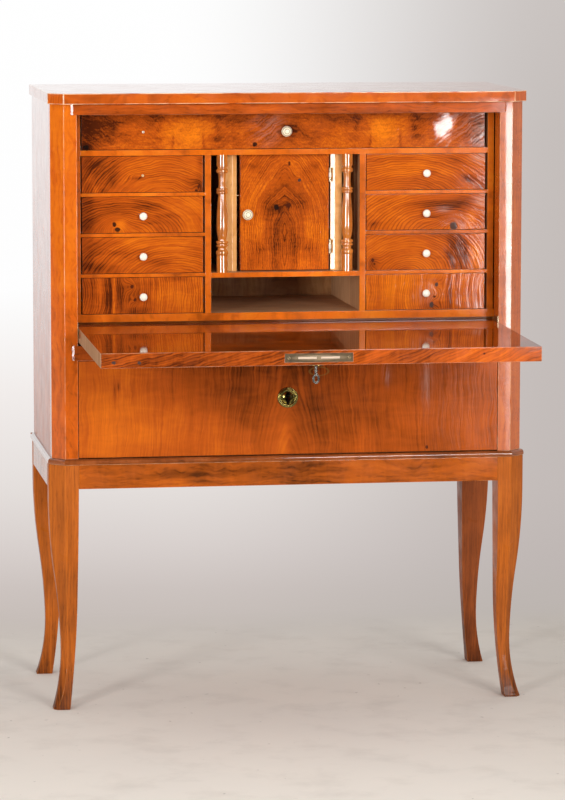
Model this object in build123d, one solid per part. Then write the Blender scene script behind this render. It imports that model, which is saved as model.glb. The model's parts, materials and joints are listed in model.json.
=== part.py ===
# A fall front secretaire on a stand with sabre legs.
#
# The case holds one wide drawer below. Above it a hinged fall opens into a writing surface,
# and behind the fall stands a gallery of small drawers, with a cupboard between two turned
# columns, a pigeonhole under it and a wide drawer over all.
#
# Frame: X runs to the right, Y to the back and Z up, in millimetres. The origin is on the
# floor, under the middle of the space that the object takes with its fall open. The fall is
# drawn shut, as its joiner would draw it, and is then swung open to its rest.

import os
from math import cos, hypot, radians, sin, sqrt

from build123d import *

# Case
case_width = 950.0
case_depth = 418.0
case_height = 703.0
corner_cant = 25.0
post_width = 51.0
post_depth = 48.0
side_thickness = 22.0
bottom_thickness = 12.0
back_thickness = 10.0
back_inset = 3.0
back_board_count = 3
drawer_gap = 2.0

# Top board
top_thickness = 21.5
top_side_overhang = 5.5
top_front_overhang = 16.0
top_cant = 29.0

# Rails across the front
rail_proud = 4.5
rail_lap = 12.0
top_rail_height = 20.8
rest_rail_height = 28.5
rest_rail_gap = 2.5
rest_web_thickness = 7.0
rest_web_gap = 0.8
dust_board_thickness = 9.0
stop_bead_height = 2.4
stop_bead_width = 20.0
stop_bead_gap = 0.3

# Stand
stand_height = 494.0
stand_proud = 6.6
moulding_height = 11.5
moulding_proud = 1.0
moulding_width = 64.0
moulding_cant = 30.0
apron_height = 48.0
apron_thickness = 22.0
leg_width = 58.0
leg_taper = 2.5
leg_straight = 64.0
leg_hollow_height = 265.0
leg_hollow = 12.0
ankle_height = 125.0
ankle_set = 23.5
foot_set = 5.5
inner_curve_height = 223.0
foot_inner_set = 38.8
leg_cant = 30.0
hollow_cant = 20.0
ankle_cant = 12.0
foot_cant = 8.0

# Lower drawer
lower_drawer_height = 193.0
lower_front_thickness = 20.0
lower_side_thickness = 10.0
lower_side_height = 170.0
lower_bottom_thickness = 8.0
lower_bottom_rise = 8.0
lower_drawer_back_gap = 15.0
lower_side_inset = 2.0
slide_clearance = 0.3
guide_height = 26.0

# Fall and its knife hinges
fall_thickness = 28.5
fall_side_gap = 1.5
fall_top_gap = 1.0
fall_front_set = 0.5
fall_lipping = 7.0
fall_droop_degrees = 0.7
pivot_inset = 18.6
pivot_rise = 43.3
swing_gap = 1.7
stop_gap = 0.3
stop_strip_height = 3.5
stop_strip_width = 24.0
stop_strip_set = 2.0
hinge_arm_thickness = 2.2
hinge_arm_width = 16.0
hinge_arm_length = 68.0
hinge_pin_radius = 3.0
hinge_running = 0.05
hinge_pin_relief = 0.4
hinge_plate_thickness = 1.0
hinge_plate_depth = 38.0
hinge_plate_height = 36.0
hinge_plate_drop = 15.0
hinge_plate_set = 1.5
fitting_clearance = 0.1

# Lock of the fall, with its bolt and key
fall_lock_x = -8.0
lock_plate_length = 130.0
lock_plate_width = 16.4
lock_plate_thickness = 2.0
lock_case_width = 96.0
lock_case_height = 62.0
lock_case_thickness = 12.0
lock_wall = 1.5
bolt_tongue_width = 35.6
bolt_tongue_offset = 22.0
bolt_thickness = 3.8
bolt_slot_clearance = 0.4
bolt_bar_width = 84.0
bolt_bar_height = 17.0
bolt_throw = 8.0
bolt_set = 0.2
strike_clearance = 1.2
key_set = 36.0
key_stem_radius = 2.6
key_hole_radius = 3.3
key_slot_width = 4.4
key_slot_length = 10.5
key_bit_reach = 9.4
key_bit_thickness = 2.4
key_bit_length = 5.0
key_drop = 42.0
key_bow_width = 13.5
key_bow_height = 19.0
key_bow_wire = 1.9
key_bead_radius = 3.9
key_bead_length = 3.4

# Lock of the lower drawer and the round escutcheons
drawer_lock_x = -4.0
drawer_lock_height = 114.0
drawer_case_width = 70.0
drawer_case_height = 98.0
drawer_case_thickness = 13.0
drawer_lock_plate_length = 96.0
drawer_bolt_width = 26.0
drawer_bolt_thickness = 6.0
drawer_bolt_height = 36.0
escutcheon_radius = 21.0
escutcheon_thickness = 3.6
escutcheon_key_radius = 4.2
escutcheon_slot_length = 14.0

# Gallery
gallery_set = 57.0
gallery_back_gap = 6.0
gallery_side_thickness = 12.5
base_thickness = 16.0
bay_count = 4
bay_rail = 7.0
gallery_shelf_thickness = 11.3
divider_thickness = 12.2
centre_width = 300.6
centre_shelf_thickness = 10.0

# Small drawers
small_front_thickness = 12.0
small_front_set = 1.0
small_side_thickness = 6.0
small_bottom_thickness = 4.0
small_bottom_rise = 4.0
small_side_drop = 9.0
small_drawer_back_gap = 12.0
small_gap = 0.6
left_bank_outer_gap = 2.5
left_bank_inner_gap = 3.5
right_bank_outer_gap = 4.7
right_bank_inner_gap = 1.3
knob_drop = 2.5

# Wide drawer at the top of the gallery
top_drawer_left_gap = 2.5
top_drawer_right_gap = 6.5
top_drawer_height = 70.2
top_drawer_head_gap = 2.8
top_front_thickness = 14.0
top_side_thickness = 8.0
peg_offset = 1.5

# Knobs of turned bone
knob_radius = 7.8
knob_length = 15.0
large_knob_radius = 10.6
large_knob_length = 21.0
stub_radius = 2.4
stub_length = 5.0
knob_foot_share = 0.5
knob_neck_share = 0.38
knob_shoulder_share = 0.72
knob_foot_height_share = 0.08
knob_neck_height_share = 0.25
knob_head_height_share = 0.45
knob_belly_height_share = 0.68
knob_shoulder_height_share = 0.9

# Cupboard, its door and its columns
door_set = 23.0
door_thickness = 16.0
door_opening = 190.0
door_free_gap = 6.4
door_hinge_gap = 3.4
door_end_gap = 1.5
door_knob_x = -75.0
door_knob_drop = 3.0
stile_width = 23.0
stile_thickness = 18.0
stile_cant = 9.0
cupboard_side_thickness = 12.0
door_hinge_height = 27.5
door_hinge_top = 41.0
door_hinge_bottom = 47.0
door_knuckle_radius = 2.8
door_pin_radius = 1.2
door_leaf_thickness = 1.0
door_leaf_width = 17.0
door_knuckle_gap = 0.2
catch_pin_radius = 1.5
catch_pin_length = 6.0
catch_pin_height_share = 0.647
column_x = 126.6
column_radius = 11.3
column_front_set = 0.4

cut_over = 1.0

# Heights that follow
case_base = stand_height + moulding_height
case_top = case_base + case_height
overall_height = case_top + top_thickness
bottom_top = case_base + bottom_thickness
lower_drawer_base = case_base + drawer_gap
lower_drawer_top = lower_drawer_base + lower_drawer_height
rest_rail_base = lower_drawer_top + rest_rail_gap
rest_web_base = lower_drawer_top + rest_web_gap
rest_web_top = rest_web_base + rest_web_thickness
dust_base = rest_web_base - dust_board_thickness
top_rail_base = case_top - top_rail_height

# The fall: its rear corner clears the rest rail as it swings
pivot_z = rest_web_top + swing_gap + hypot(pivot_inset, pivot_rise)
fall_foot = pivot_z - pivot_rise
fall_top = top_rail_base - fall_top_gap
droop = radians(fall_droop_degrees)
stop_height = (
    pivot_z + (fall_thickness - pivot_inset) * cos(droop) + pivot_rise * sin(droop) + stop_gap
)

# Places in depth, with the case front where the open fall balances the case about the origin
pivot_depth = fall_front_set + pivot_inset
fall_reach = (
    (fall_top - pivot_z) * cos(droop) + (fall_thickness - pivot_inset) * sin(droop) - pivot_depth
)
front = (fall_reach - case_depth) / 2
back = front + case_depth
pivot_y = front + pivot_depth
fall_outer = front + fall_front_set
back_face = back - back_inset - back_thickness
gallery_front = front + gallery_set
gallery_back = back_face - gallery_back_gap
door_front = gallery_front + door_set

# Places across
half_case = case_width / 2
post_inner = half_case - post_width
side_inner = half_case - side_thickness
half_fall = post_inner - fall_side_gap
gallery_inner = post_inner - gallery_side_thickness
half_centre = centre_width / 2
divider_outer = half_centre + divider_thickness
half_door_opening = door_opening / 2
cupboard_outer = half_door_opening + stile_width
left_bank = (-gallery_inner + left_bank_outer_gap, -divider_outer - left_bank_inner_gap)
right_bank = (divider_outer + right_bank_inner_gap, gallery_inner - right_bank_outer_gap)
top_drawer_span = (-gallery_inner + top_drawer_left_gap, gallery_inner - top_drawer_right_gap)

# Fronts and backs of the drawers
small_face = gallery_front + small_front_set
small_drawer_back = gallery_back - small_drawer_back_gap
lower_drawer_back = back_face - lower_drawer_back_gap

# Levels of the gallery
base_bottom = stop_height + stop_strip_height
base_top = base_bottom + base_thickness
shelf_top = top_rail_base - top_drawer_head_gap - top_drawer_height - small_gap
shelf_bottom = shelf_top - gallery_shelf_thickness
bay_pitch = (shelf_bottom + bay_rail - base_top) / bay_count
bay_height = bay_pitch - bay_rail
centre_shelf_top = base_top + bay_pitch
centre_shelf_bottom = centre_shelf_top - centre_shelf_thickness


def board(x, y, z):
    """A square board that fills the given spans."""
    middle = [(low + high) / 2 for low, high in (x, y, z)]
    return Pos(*middle) * Box(*(high - low for low, high in (x, y, z)))


def both_sides(shape):
    """The shape and its mirror image on the other side of the middle."""
    return [shape, mirror(shape, about=Plane.YZ)]


def prism(points, low, high):
    """An upright block on a plan given by its corners."""
    plan = Plane.XY.offset(low) * make_face(Polyline(*points, close=True))
    return extrude(plan, high - low)


def write(node, *shapes):
    """One STEP file for a node, with each of its shapes as a solid of its own."""
    solids = [solid for shape in shapes for solid in shape.solids()]
    export_step(solids[0] if len(solids) == 1 else Compound(children=solids), f"parts/{node}.step")


def canted_plan(half_width, front_y, back_y, cant):
    """The plan of a board whose two front corners are canted."""
    return [
        (-half_width, back_y),
        (-half_width, front_y + cant),
        (-half_width + cant, front_y),
        (half_width - cant, front_y),
        (half_width, front_y + cant),
        (half_width, back_y),
    ]


# Case

def corner_post():
    """The left front post, with its outer corner canted."""
    plan = [
        (-half_case, front + post_depth),
        (-half_case, front + corner_cant),
        (-half_case + corner_cant, front),
        (-post_inner, front),
        (-post_inner, front + post_depth),
    ]
    return prism(plan, case_base, case_top)


def case_sides():
    side = board((-half_case, -side_inner), (front + post_depth, back), (case_base, case_top))
    return both_sides(side)


def top_board():
    plan = canted_plan(
        half_case + top_side_overhang, front - top_front_overhang, back, top_cant
    )
    return prism(plan, case_top, overall_height)


def carcase_boards():
    """Boards that tie the sides together, and the guides of the lower drawer."""
    inner_depth = (front + post_depth, back_face)
    top = board((-side_inner, side_inner), inner_depth, (top_rail_base, case_top))
    bottom = board((-side_inner, side_inner), inner_depth, (case_base, bottom_top))
    dust = board((-side_inner, side_inner), inner_depth, (dust_base, rest_web_base))
    bottom_rail = board(
        (-post_inner, post_inner),
        (front + lower_front_thickness + drawer_gap, front + post_depth),
        (case_base, bottom_top),
    )
    guide = board(
        (-side_inner, -post_inner), inner_depth, (bottom_top, bottom_top + guide_height)
    )
    bearer = board((-side_inner, -post_inner), inner_depth, (rest_web_base, base_bottom))
    return [top, bottom, dust, bottom_rail, *both_sides(guide), *both_sides(bearer)]


def back_boards():
    width = 2 * side_inner / back_board_count
    return [
        board(
            (-side_inner + i * width, -side_inner + (i + 1) * width),
            (back_face, back_face + back_thickness),
            (case_base, case_top),
        )
        for i in range(back_board_count)
    ]


def rail_strip(low, high):
    """A strip planted on the front of both posts, with its front arrises eased."""
    half = post_inner + rail_lap
    strip = board((-half, half), (front - rail_proud, front), (low, high))
    ends = strip.faces().filter_by(Axis.X)
    easing = rail_proud / 2
    return fillet([end.edges().sort_by(Axis.Y)[0] for end in ends], easing)


def top_rail():
    """The rail over the fall, mortised for the two tongues of its lock, and its strip."""
    rail = board(
        (-post_inner, post_inner), (front, front + post_depth), (top_rail_base, case_top)
    )
    strike_depth = bolt_throw + strike_clearance
    for side in (-1, 1):
        half = (bolt_tongue_width + strike_clearance) / 2
        middle_x = fall_lock_x + side * bolt_tongue_offset
        half_slot = (bolt_thickness + strike_clearance) / 2
        rail -= board(
            (middle_x - half, middle_x + half),
            (lock_y - half_slot, lock_y + half_slot),
            (top_rail_base - cut_over, top_rail_base + strike_depth),
        )
    bead_front = fall_outer + fall_thickness + stop_bead_gap
    bead = board(
        (-post_inner, post_inner),
        (bead_front, bead_front + stop_bead_width),
        (top_rail_base - stop_bead_height, top_rail_base),
    )
    return [rail, rail_strip(top_rail_base, case_top), bead]


def rest_rail():
    """The rail under the fall: a strip in front and a stepped web behind it."""
    step = front + lower_front_thickness + drawer_gap
    web = board((-post_inner, post_inner), (front, step), (rest_web_base, rest_web_top))
    web += board(
        (-post_inner, post_inner), (step, front + post_depth), (dust_base, rest_web_top)
    )
    half_slot = (drawer_bolt_width + strike_clearance) / 2
    half_width = (drawer_bolt_thickness + strike_clearance) / 2
    web -= board(
        (drawer_lock_x - half_slot, drawer_lock_x + half_slot),
        (drawer_bolt_y - half_width, drawer_bolt_y + half_width),
        (rest_web_base - cut_over, rest_web_top + cut_over),
    )
    return [web, rail_strip(rest_rail_base, rest_rail_base + rest_rail_height)]


# Stand

stand_half = half_case + stand_proud
stand_front = front - stand_proud


def leg_face(outer, inner):
    """A sawing template of a leg: X is the distance in from the corner and Y is the height."""
    top, straight, hollow, ankle, foot = outer
    head = Line((inner[0], stand_height), (top, stand_height))
    upright = Line(head @ 1, (straight, stand_height - leg_straight))
    knee = TangentArc(upright @ 1, (hollow, leg_hollow_height), tangent=upright % 1)
    shin = TangentArc(knee @ 1, (ankle, ankle_height), tangent=knee % 1)
    toe = TangentArc(shin @ 1, (foot, 0), tangent=shin % 1)
    sole = Line(toe @ 1, (inner[2], 0))
    edges = [head, upright, knee, shin, toe, sole]
    if inner[1] == inner[2]:
        edges.append(Line(sole @ 1, head @ 0))
    else:
        straight_back = Line((inner[1], inner_curve_height), head @ 0)
        calf = TangentArc(
            straight_back @ 0, sole @ 1, tangent=(straight_back % 0) * -1
        )
        edges += [calf, straight_back]
    return make_face(Curve() + edges)


def sabre_leg():
    """The left front leg: sawn from the front and from the side, then canted at its corner."""
    outer = (0, 0, leg_hollow, ankle_set, foot_set)
    inner = (leg_width, leg_width - leg_taper, foot_inner_set)
    face = leg_face(outer, inner)
    from_front = extrude(Plane.XZ * face, -leg_width)
    from_side = mirror(from_front, about=Plane((0, 0, 0), z_dir=(1, -1, 0)))
    cants = (leg_cant, leg_cant, hollow_cant, ankle_cant, foot_cant)
    diagonal = [(place * 2 + cant) / sqrt(2) for place, cant in zip(outer, cants)]
    reach = leg_width * sqrt(2)
    slant = Plane((0, 0, 0), x_dir=(1, 1, 0), z_dir=(1, -1, 0))
    bevel = extrude(slant * leg_face(diagonal, (reach, reach, reach)), reach, both=True)
    leg = from_front & from_side & bevel
    return Pos(-stand_half, stand_front, 0) * leg


def legs():
    """The four legs by name, each the mirror image of its neighbour."""
    front_left = sabre_leg()
    middle = Plane.XZ.offset(-(stand_front + back) / 2)
    back_left = mirror(front_left, about=middle)
    return {
        "front_left_leg": front_left,
        "front_right_leg": mirror(front_left, about=Plane.YZ),
        "back_left_leg": back_left,
        "back_right_leg": mirror(back_left, about=Plane.YZ),
    }


def aprons():
    height = (stand_height - apron_height, stand_height)
    across = (-stand_half + leg_width, stand_half - leg_width)
    front_apron = board(across, (stand_front, stand_front + apron_thickness), height)
    back_apron = board(across, (back - apron_thickness, back), height)
    side_apron = board(
        (-stand_half, -stand_half + apron_thickness),
        (stand_front + leg_width, back - leg_width),
        height,
    )
    return [front_apron, back_apron, *both_sides(side_apron)]


def stand_moulding():
    """The moulded frame between stand and case, mitred at every corner."""
    out = canted_plan(
        stand_half + moulding_proud, stand_front - moulding_proud, back, moulding_cant
    )
    inner_half = stand_half - moulding_width
    inner_front = stand_front + moulding_width
    inn = [
        (-inner_half, back - moulding_width),
        (-inner_half, inner_front),
        (-inner_half, inner_front),
        (inner_half, inner_front),
        (inner_half, inner_front),
        (inner_half, back - moulding_width),
    ]
    ovolo = stand_proud
    pieces = []
    for i in range(len(out) - 1):
        corners = [out[i], out[i + 1], inn[i + 1]]
        if inn[i] != inn[i + 1]:
            corners.append(inn[i])
        piece = prism(corners, stand_height, case_base)
        middle = Vector(
            (out[i][0] + out[i + 1][0]) / 2, (out[i][1] + out[i + 1][1]) / 2, case_base
        )
        edge = piece.edges().sort_by_distance(middle)[0]
        pieces.append(fillet(edge, ovolo))
    pieces.append(prism([out[-1], out[0], inn[0], inn[-1]], stand_height, case_base))
    return pieces


# Drawers

def drawer_box(x, y, z, wall, bottom_thickness, bottom_rise):
    """The two sides, the back and the bottom of a drawer, without its front."""
    low_x, high_x = x
    left = board((low_x, low_x + wall), y, z)
    right = board((high_x - wall, high_x), y, z)
    inside = (low_x + wall, high_x - wall)
    end = board(inside, (y[1] - wall, y[1]), z)
    floor = board(
        inside, (y[0], y[1] - wall), (z[0] + bottom_rise, z[0] + bottom_rise + bottom_thickness)
    )
    return [left, right, end, floor]


def knob(radius, length):
    """A turned knob on the Y axis, with its foot at the origin and its head to the front."""
    foot = (radius * knob_foot_share, length * knob_foot_height_share)
    neck = (radius * knob_neck_share, length * knob_neck_height_share)
    head = (foot[0], length * knob_head_height_share)
    belly = (radius, length * knob_belly_height_share)
    shoulder = (radius * knob_shoulder_share, length * knob_shoulder_height_share)
    outline = [
        Line((0, 0), (foot[0], 0)),
        Line((foot[0], 0), foot),
        ThreePointArc(foot, neck, head),
        ThreePointArc(head, belly, shoulder),
        TangentArc((0, length), shoulder, tangent=(1, 0)),
        Line((0, length), (0, 0)),
    ]
    turned = revolve(make_face(Curve() + outline), Axis.Y)
    return turned.rotate(Axis.Z, 180)


def peg(radius, length):
    """The stump of a lost knob."""
    return extrude(Plane.XZ * Circle(radius), length)


def small_drawers():
    """Both banks of small drawers, numbered from the top, with the parts of each by name."""
    parts = {}
    for bank, span in {"left": left_bank, "right": right_bank}.items():
        for row in range(bay_count):
            low = base_top + (bay_count - 1 - row) * bay_pitch
            z = (low + small_gap, low + bay_height - small_gap)
            name = f"{bank}_drawer_{row + 1}"
            front_back = small_face + small_front_thickness
            parts[f"{name}_front"] = [board(span, (small_face, front_back), z)]
            parts[f"{name}_box"] = drawer_box(
                span,
                (front_back, small_drawer_back),
                (z[0], z[1] - small_side_drop),
                small_side_thickness,
                small_bottom_thickness,
                small_bottom_rise,
            )
            place = Pos((span[0] + span[1]) / 2, small_face, (z[0] + z[1]) / 2 - knob_drop)
            if name == "left_drawer_1":
                parts[f"{name}_peg"] = [place * peg(stub_radius, stub_length)]
            else:
                parts[f"{name}_knob"] = [place * knob(knob_radius, knob_length)]
    return parts


def top_drawer():
    front_back = small_face + top_front_thickness
    peg_x = (left_bank[0] + left_bank[1]) / 2 + peg_offset
    z = (shelf_top + small_gap, shelf_top + small_gap + top_drawer_height)
    middle_z = (z[0] + z[1]) / 2
    return {
        "top_drawer_front": [board(top_drawer_span, (small_face, front_back), z)],
        "top_drawer_box": drawer_box(
            top_drawer_span,
            (front_back, small_drawer_back),
            (z[0], z[1] - small_side_drop),
            top_side_thickness,
            small_bottom_thickness,
            small_bottom_rise,
        ),
        "top_drawer_knob": [
            Pos(0, small_face, middle_z) * knob(large_knob_radius, large_knob_length),
            Pos(peg_x, small_face, middle_z) * peg(stub_radius, stub_length / 2),
        ],
    }


# Locks

lock_y = fall_outer + fall_thickness / 2
drawer_bolt_y = front + lower_front_thickness - drawer_case_thickness / 2
drawer_key_z = lower_drawer_base + drawer_lock_height


def keyhole(round_radius, slot_width, slot_length, depth):
    """A cutter along Y from the origin to the back: a round hole with a slot under it."""
    outline = Circle(round_radius) + Pos(0, -slot_length / 2) * Rectangle(slot_width, slot_length)
    return extrude(Plane.XZ * outline, -depth)


def escutcheon():
    """A round stepped brass plate with its back at the origin and its face to the front."""
    # Each radius is a share of the plate's radius and each height a share of its thickness.
    rim_shares = [(1.0, 0.0), (0.97, 0.33), (0.82, 0.53)]
    ring_shares = [(0.82, 1.0), (0.72, 1.12), (0.68, 1.0)]
    boss_shares = [(0.63, 0.33), (0.57, 0.33), (0.0, 1.3)]
    rim, ring, boss = (
        [(escutcheon_radius * wide, escutcheon_thickness * high) for wide, high in shares]
        for shares in (rim_shares, ring_shares, boss_shares)
    )
    outline = [
        Line((0, 0), rim[0]),
        ThreePointArc(*rim),
        Line(rim[-1], ring[0]),
        ThreePointArc(*ring),
        Line(ring[-1], boss[0]),
        Line(boss[0], boss[1]),
        TangentArc(boss[-1], boss[1], tangent=(1, 0)),
        Line(boss[-1], (0, 0)),
    ]
    plate = revolve(make_face(Curve() + outline), Axis.Y).rotate(Axis.Z, 180)
    hole = keyhole(
        escutcheon_key_radius, key_slot_width, escutcheon_slot_length, 4 * escutcheon_thickness
    )
    return plate - Pos(0, -2 * escutcheon_thickness, 0) * hole


def lower_drawer():
    half = post_inner - drawer_gap / 2
    front_z = (lower_drawer_base, lower_drawer_top)
    drawer_front = board((-half, half), (front, front + lower_front_thickness), front_z)
    case_half = drawer_case_width / 2
    case_y = (front + lower_front_thickness - drawer_case_thickness, front + lower_front_thickness)
    case_z = (lower_drawer_top - drawer_case_height, lower_drawer_top)
    x = (drawer_lock_x - case_half, drawer_lock_x + case_half)
    plate_half = drawer_lock_plate_length / 2
    plate_x = (drawer_lock_x - plate_half, drawer_lock_x + plate_half)
    plate_z = (lower_drawer_top - lock_wall, lower_drawer_top)
    case_block = board(x, case_y, case_z) + board(plate_x, case_y, plate_z)
    drawer_front -= case_block
    key_place = Pos(drawer_lock_x, front - cut_over, drawer_key_z)
    hole = key_place * keyhole(
        escutcheon_key_radius, key_slot_width, escutcheon_slot_length, lower_front_thickness
    )
    drawer_front -= hole
    channel_half = (drawer_bolt_width + bolt_slot_clearance) / 2
    channel_deep = (drawer_bolt_thickness + bolt_slot_clearance) / 2
    channel = board(
        (drawer_lock_x - channel_half, drawer_lock_x + channel_half),
        (drawer_bolt_y - channel_deep, drawer_bolt_y + channel_deep),
        (lower_drawer_top - drawer_bolt_height - bolt_slot_clearance, lower_drawer_top + cut_over),
    )
    lock = case_block - channel - hole
    bolt = board(
        (drawer_lock_x - drawer_bolt_width / 2, drawer_lock_x + drawer_bolt_width / 2),
        (drawer_bolt_y - drawer_bolt_thickness / 2, drawer_bolt_y + drawer_bolt_thickness / 2),
        (lower_drawer_top - drawer_bolt_height, lower_drawer_top - bolt_set),
    )
    side_half = half - lower_side_inset
    side_base = bottom_top + slide_clearance
    box = drawer_box(
        (-side_half, side_half),
        (front + lower_front_thickness, lower_drawer_back),
        (side_base, side_base + lower_side_height),
        lower_side_thickness,
        lower_bottom_thickness,
        lower_bottom_rise,
    )
    return {
        "lower_drawer_front": [drawer_front],
        "lower_drawer_box": box,
        "lower_drawer_lock": [lock],
        "lower_drawer_bolt": [bolt],
        "lower_drawer_escutcheon": [Pos(drawer_lock_x, front, drawer_key_z) * escutcheon()],
    }


# Fall, drawn shut

key_z = fall_top - key_set


def swung(shape):
    """A shape of the shut fall, swung open to its rest."""
    return shape.rotate(Axis((0, pivot_y, pivot_z), (1, 0, 0)), 90 + fall_droop_degrees)


def hinge_arm(clearance):
    """The arm of the left knife hinge, let into the end of the fall, or its pocket."""
    slot = SlotOverall(hinge_arm_length + 2 * clearance, hinge_arm_width + 2 * clearance, 90)
    rise = hinge_arm_length / 2 - hinge_arm_width / 2
    plane = Plane(origin=(-half_fall, pivot_y, pivot_z + rise), x_dir=(0, -1, 0), z_dir=(-1, 0, 0))
    return extrude(plane * slot, -hinge_arm_thickness - clearance)


def hinge_pin(radius, inner_x):
    """The left hinge pin, from the fixed plate inwards, or its bore."""
    plane = Plane(origin=(inner_x, pivot_y, pivot_z), x_dir=(0, 1, 0), z_dir=(-1, 0, 0))
    return extrude(plane * Circle(radius), inner_x + post_inner - hinge_plate_thickness)


pin_end = -half_fall + hinge_arm_thickness + hinge_pin_relief


def fall_lock_parts():
    """The lock: its hollow case under a plate, and the bolt with two tongues inside it."""
    case_half = lock_case_width / 2
    half_thick = lock_case_thickness / 2
    plate_base = fall_top - lock_plate_thickness
    plate = board(
        (fall_lock_x - lock_plate_length / 2, fall_lock_x + lock_plate_length / 2),
        (lock_y - lock_plate_width / 2, lock_y + lock_plate_width / 2),
        (plate_base, fall_top),
    )
    case_z = (plate_base - lock_case_height, plate_base)
    block = board(
        (fall_lock_x - case_half, fall_lock_x + case_half),
        (lock_y - half_thick, lock_y + half_thick),
        case_z,
    )
    body = plate + block
    hollow_half = half_thick - lock_wall
    hollow = board(
        (fall_lock_x - case_half + lock_wall, fall_lock_x + case_half - lock_wall),
        (lock_y - hollow_half, lock_y + hollow_half),
        (case_z[0] + lock_wall, case_z[1] - lock_wall),
    )
    case = body - hollow
    bar_top = case_z[1] - lock_wall - bolt_throw - bolt_set
    half_bolt = bolt_thickness / 2
    bolt = board(
        (fall_lock_x - bolt_bar_width / 2, fall_lock_x + bolt_bar_width / 2),
        (lock_y - half_bolt, lock_y + half_bolt),
        (bar_top - bolt_bar_height, bar_top),
    )
    for side in (-1, 1):
        middle_x = fall_lock_x + side * bolt_tongue_offset
        half = bolt_tongue_width / 2
        bolt += board(
            (middle_x - half, middle_x + half),
            (lock_y - half_bolt, lock_y + half_bolt),
            (bar_top, fall_top - bolt_set),
        )
        slot_half = half + bolt_slot_clearance
        slot_thick = half_bolt + bolt_slot_clearance
        case -= board(
            (middle_x - slot_half, middle_x + slot_half),
            (lock_y - slot_thick, lock_y + slot_thick),
            (case_z[1] - lock_wall - cut_over, fall_top + cut_over),
        )
    hole = keyhole(key_hole_radius, key_slot_width, key_slot_length, half_thick)
    case -= Pos(fall_lock_x, lock_y - half_thick - cut_over, key_z) * hole
    return body, case, bolt


def fall_key():
    """The key, shut in its lock: bit, stem with beads, and an open oval bow."""
    tip = lock_y + bolt_thickness / 2
    end = fall_outer - key_drop + key_bow_height
    stem_length = tip - end
    outline = [Line((0, 0), (key_stem_radius, 0))]
    bead_ends = [key_drop - key_bow_height - escutcheon_thickness * 2, key_bead_length * 2, 0]
    last = (key_stem_radius, 0)
    for bead in bead_ends:
        low = stem_length - bead - key_bead_length
        middle = (key_bead_radius, low + key_bead_length / 2)
        outline.append(Line(last, (key_stem_radius, low)))
        last = (key_stem_radius, low + key_bead_length)
        outline.append(ThreePointArc((key_stem_radius, low), middle, last))
    outline += [Line(last, (0, stem_length)), Line((0, stem_length), (0, 0))]
    stem = revolve(make_face(Curve() + outline), Axis.Y).rotate(Axis.Z, 180)
    stem = Pos(fall_lock_x, tip, key_z) * stem
    bit = board(
        (fall_lock_x - key_bit_thickness / 2, fall_lock_x + key_bit_thickness / 2),
        (tip - key_bit_length, tip),
        (key_z - key_bit_reach, key_z),
    )
    bow_middle = Pos(fall_lock_x, end - key_bow_height / 2 + key_bow_wire, key_z)
    ring = Ellipse(key_bow_width / 2, key_bow_height / 2)
    ring -= Ellipse(key_bow_width / 2 - 2 * key_bow_wire, key_bow_height / 2 - 2 * key_bow_wire)
    bow = extrude(ring, key_bow_wire, both=True)
    return stem + bit + bow_middle * bow


def fall_parts():
    """Every part of the fall, already swung open."""
    x = (-half_fall, half_fall)
    y = (fall_outer, fall_outer + fall_thickness)
    panel = board(x, y, (fall_foot, fall_top - fall_lipping))
    lipping = board(x, y, (fall_top - fall_lipping, fall_top))
    lock_body, lock_case, bolt = fall_lock_parts()
    hole = Pos(fall_lock_x, fall_outer - cut_over, key_z) * keyhole(
        key_hole_radius, key_slot_width, key_slot_length, fall_thickness / 2
    )
    for cutter in (lock_body, hole):
        panel -= cutter
    lipping -= lock_body
    arm = hinge_arm(0)
    pocket = hinge_arm(fitting_clearance)
    bore = hinge_pin(hinge_pin_radius + hinge_pin_relief, pin_end + hinge_pin_relief)
    for cutter in both_sides(pocket) + both_sides(bore):
        panel -= cutter
    arm -= hinge_pin(hinge_pin_radius + hinge_running, pin_end)
    nodes = {
        "fall_panel": [panel, lipping],
        "fall_lock": [lock_case],
        "fall_lock_bolt": [bolt],
        "fall_key": [fall_key()],
        "fall_escutcheon": [Pos(fall_lock_x, fall_outer, key_z) * escutcheon()],
        "fall_hinge_arms": both_sides(arm),
    }
    return {node: [swung(shape) for shape in shapes] for node, shapes in nodes.items()}


def fall_hinge_plates():
    """The fixed plates of the knife hinges on the posts, each with its pin."""
    plate = board(
        (-post_inner, -post_inner + hinge_plate_thickness),
        (front + hinge_plate_set, front + hinge_plate_set + hinge_plate_depth),
        (pivot_z - hinge_plate_drop, pivot_z - hinge_plate_drop + hinge_plate_height),
    )
    return both_sides(plate + hinge_pin(hinge_pin_radius, pin_end))


# Gallery

def gallery_uprights():
    depth = (gallery_front, gallery_back)
    side = board((-post_inner, -gallery_inner), depth, (base_top, top_rail_base))
    divider = board((-divider_outer, -half_centre), depth, (base_top, shelf_bottom))
    return [*both_sides(side), *both_sides(divider)]


def gallery_shelves():
    """The base, the shelf under the wide drawer, and the rails between the small drawers."""
    depth = (gallery_front, gallery_back)
    base = board((-side_inner, side_inner), depth, (base_bottom, base_top))
    stop_front = gallery_front + stop_strip_set
    stop = board(
        (-post_inner, post_inner), (stop_front, stop_front + stop_strip_width),
        (stop_height, base_bottom),
    )
    shelf = board((-gallery_inner, gallery_inner), depth, (shelf_bottom, shelf_top))
    centre = board(
        (-half_centre, half_centre), depth, (centre_shelf_bottom, centre_shelf_top)
    )
    rails = []
    for row in range(1, bay_count):
        top = base_top + row * bay_pitch
        rail = board((-gallery_inner, -divider_outer), depth, (top - bay_rail, top))
        rails += both_sides(rail)
    return [base, stop, shelf, centre, *rails]


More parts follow.
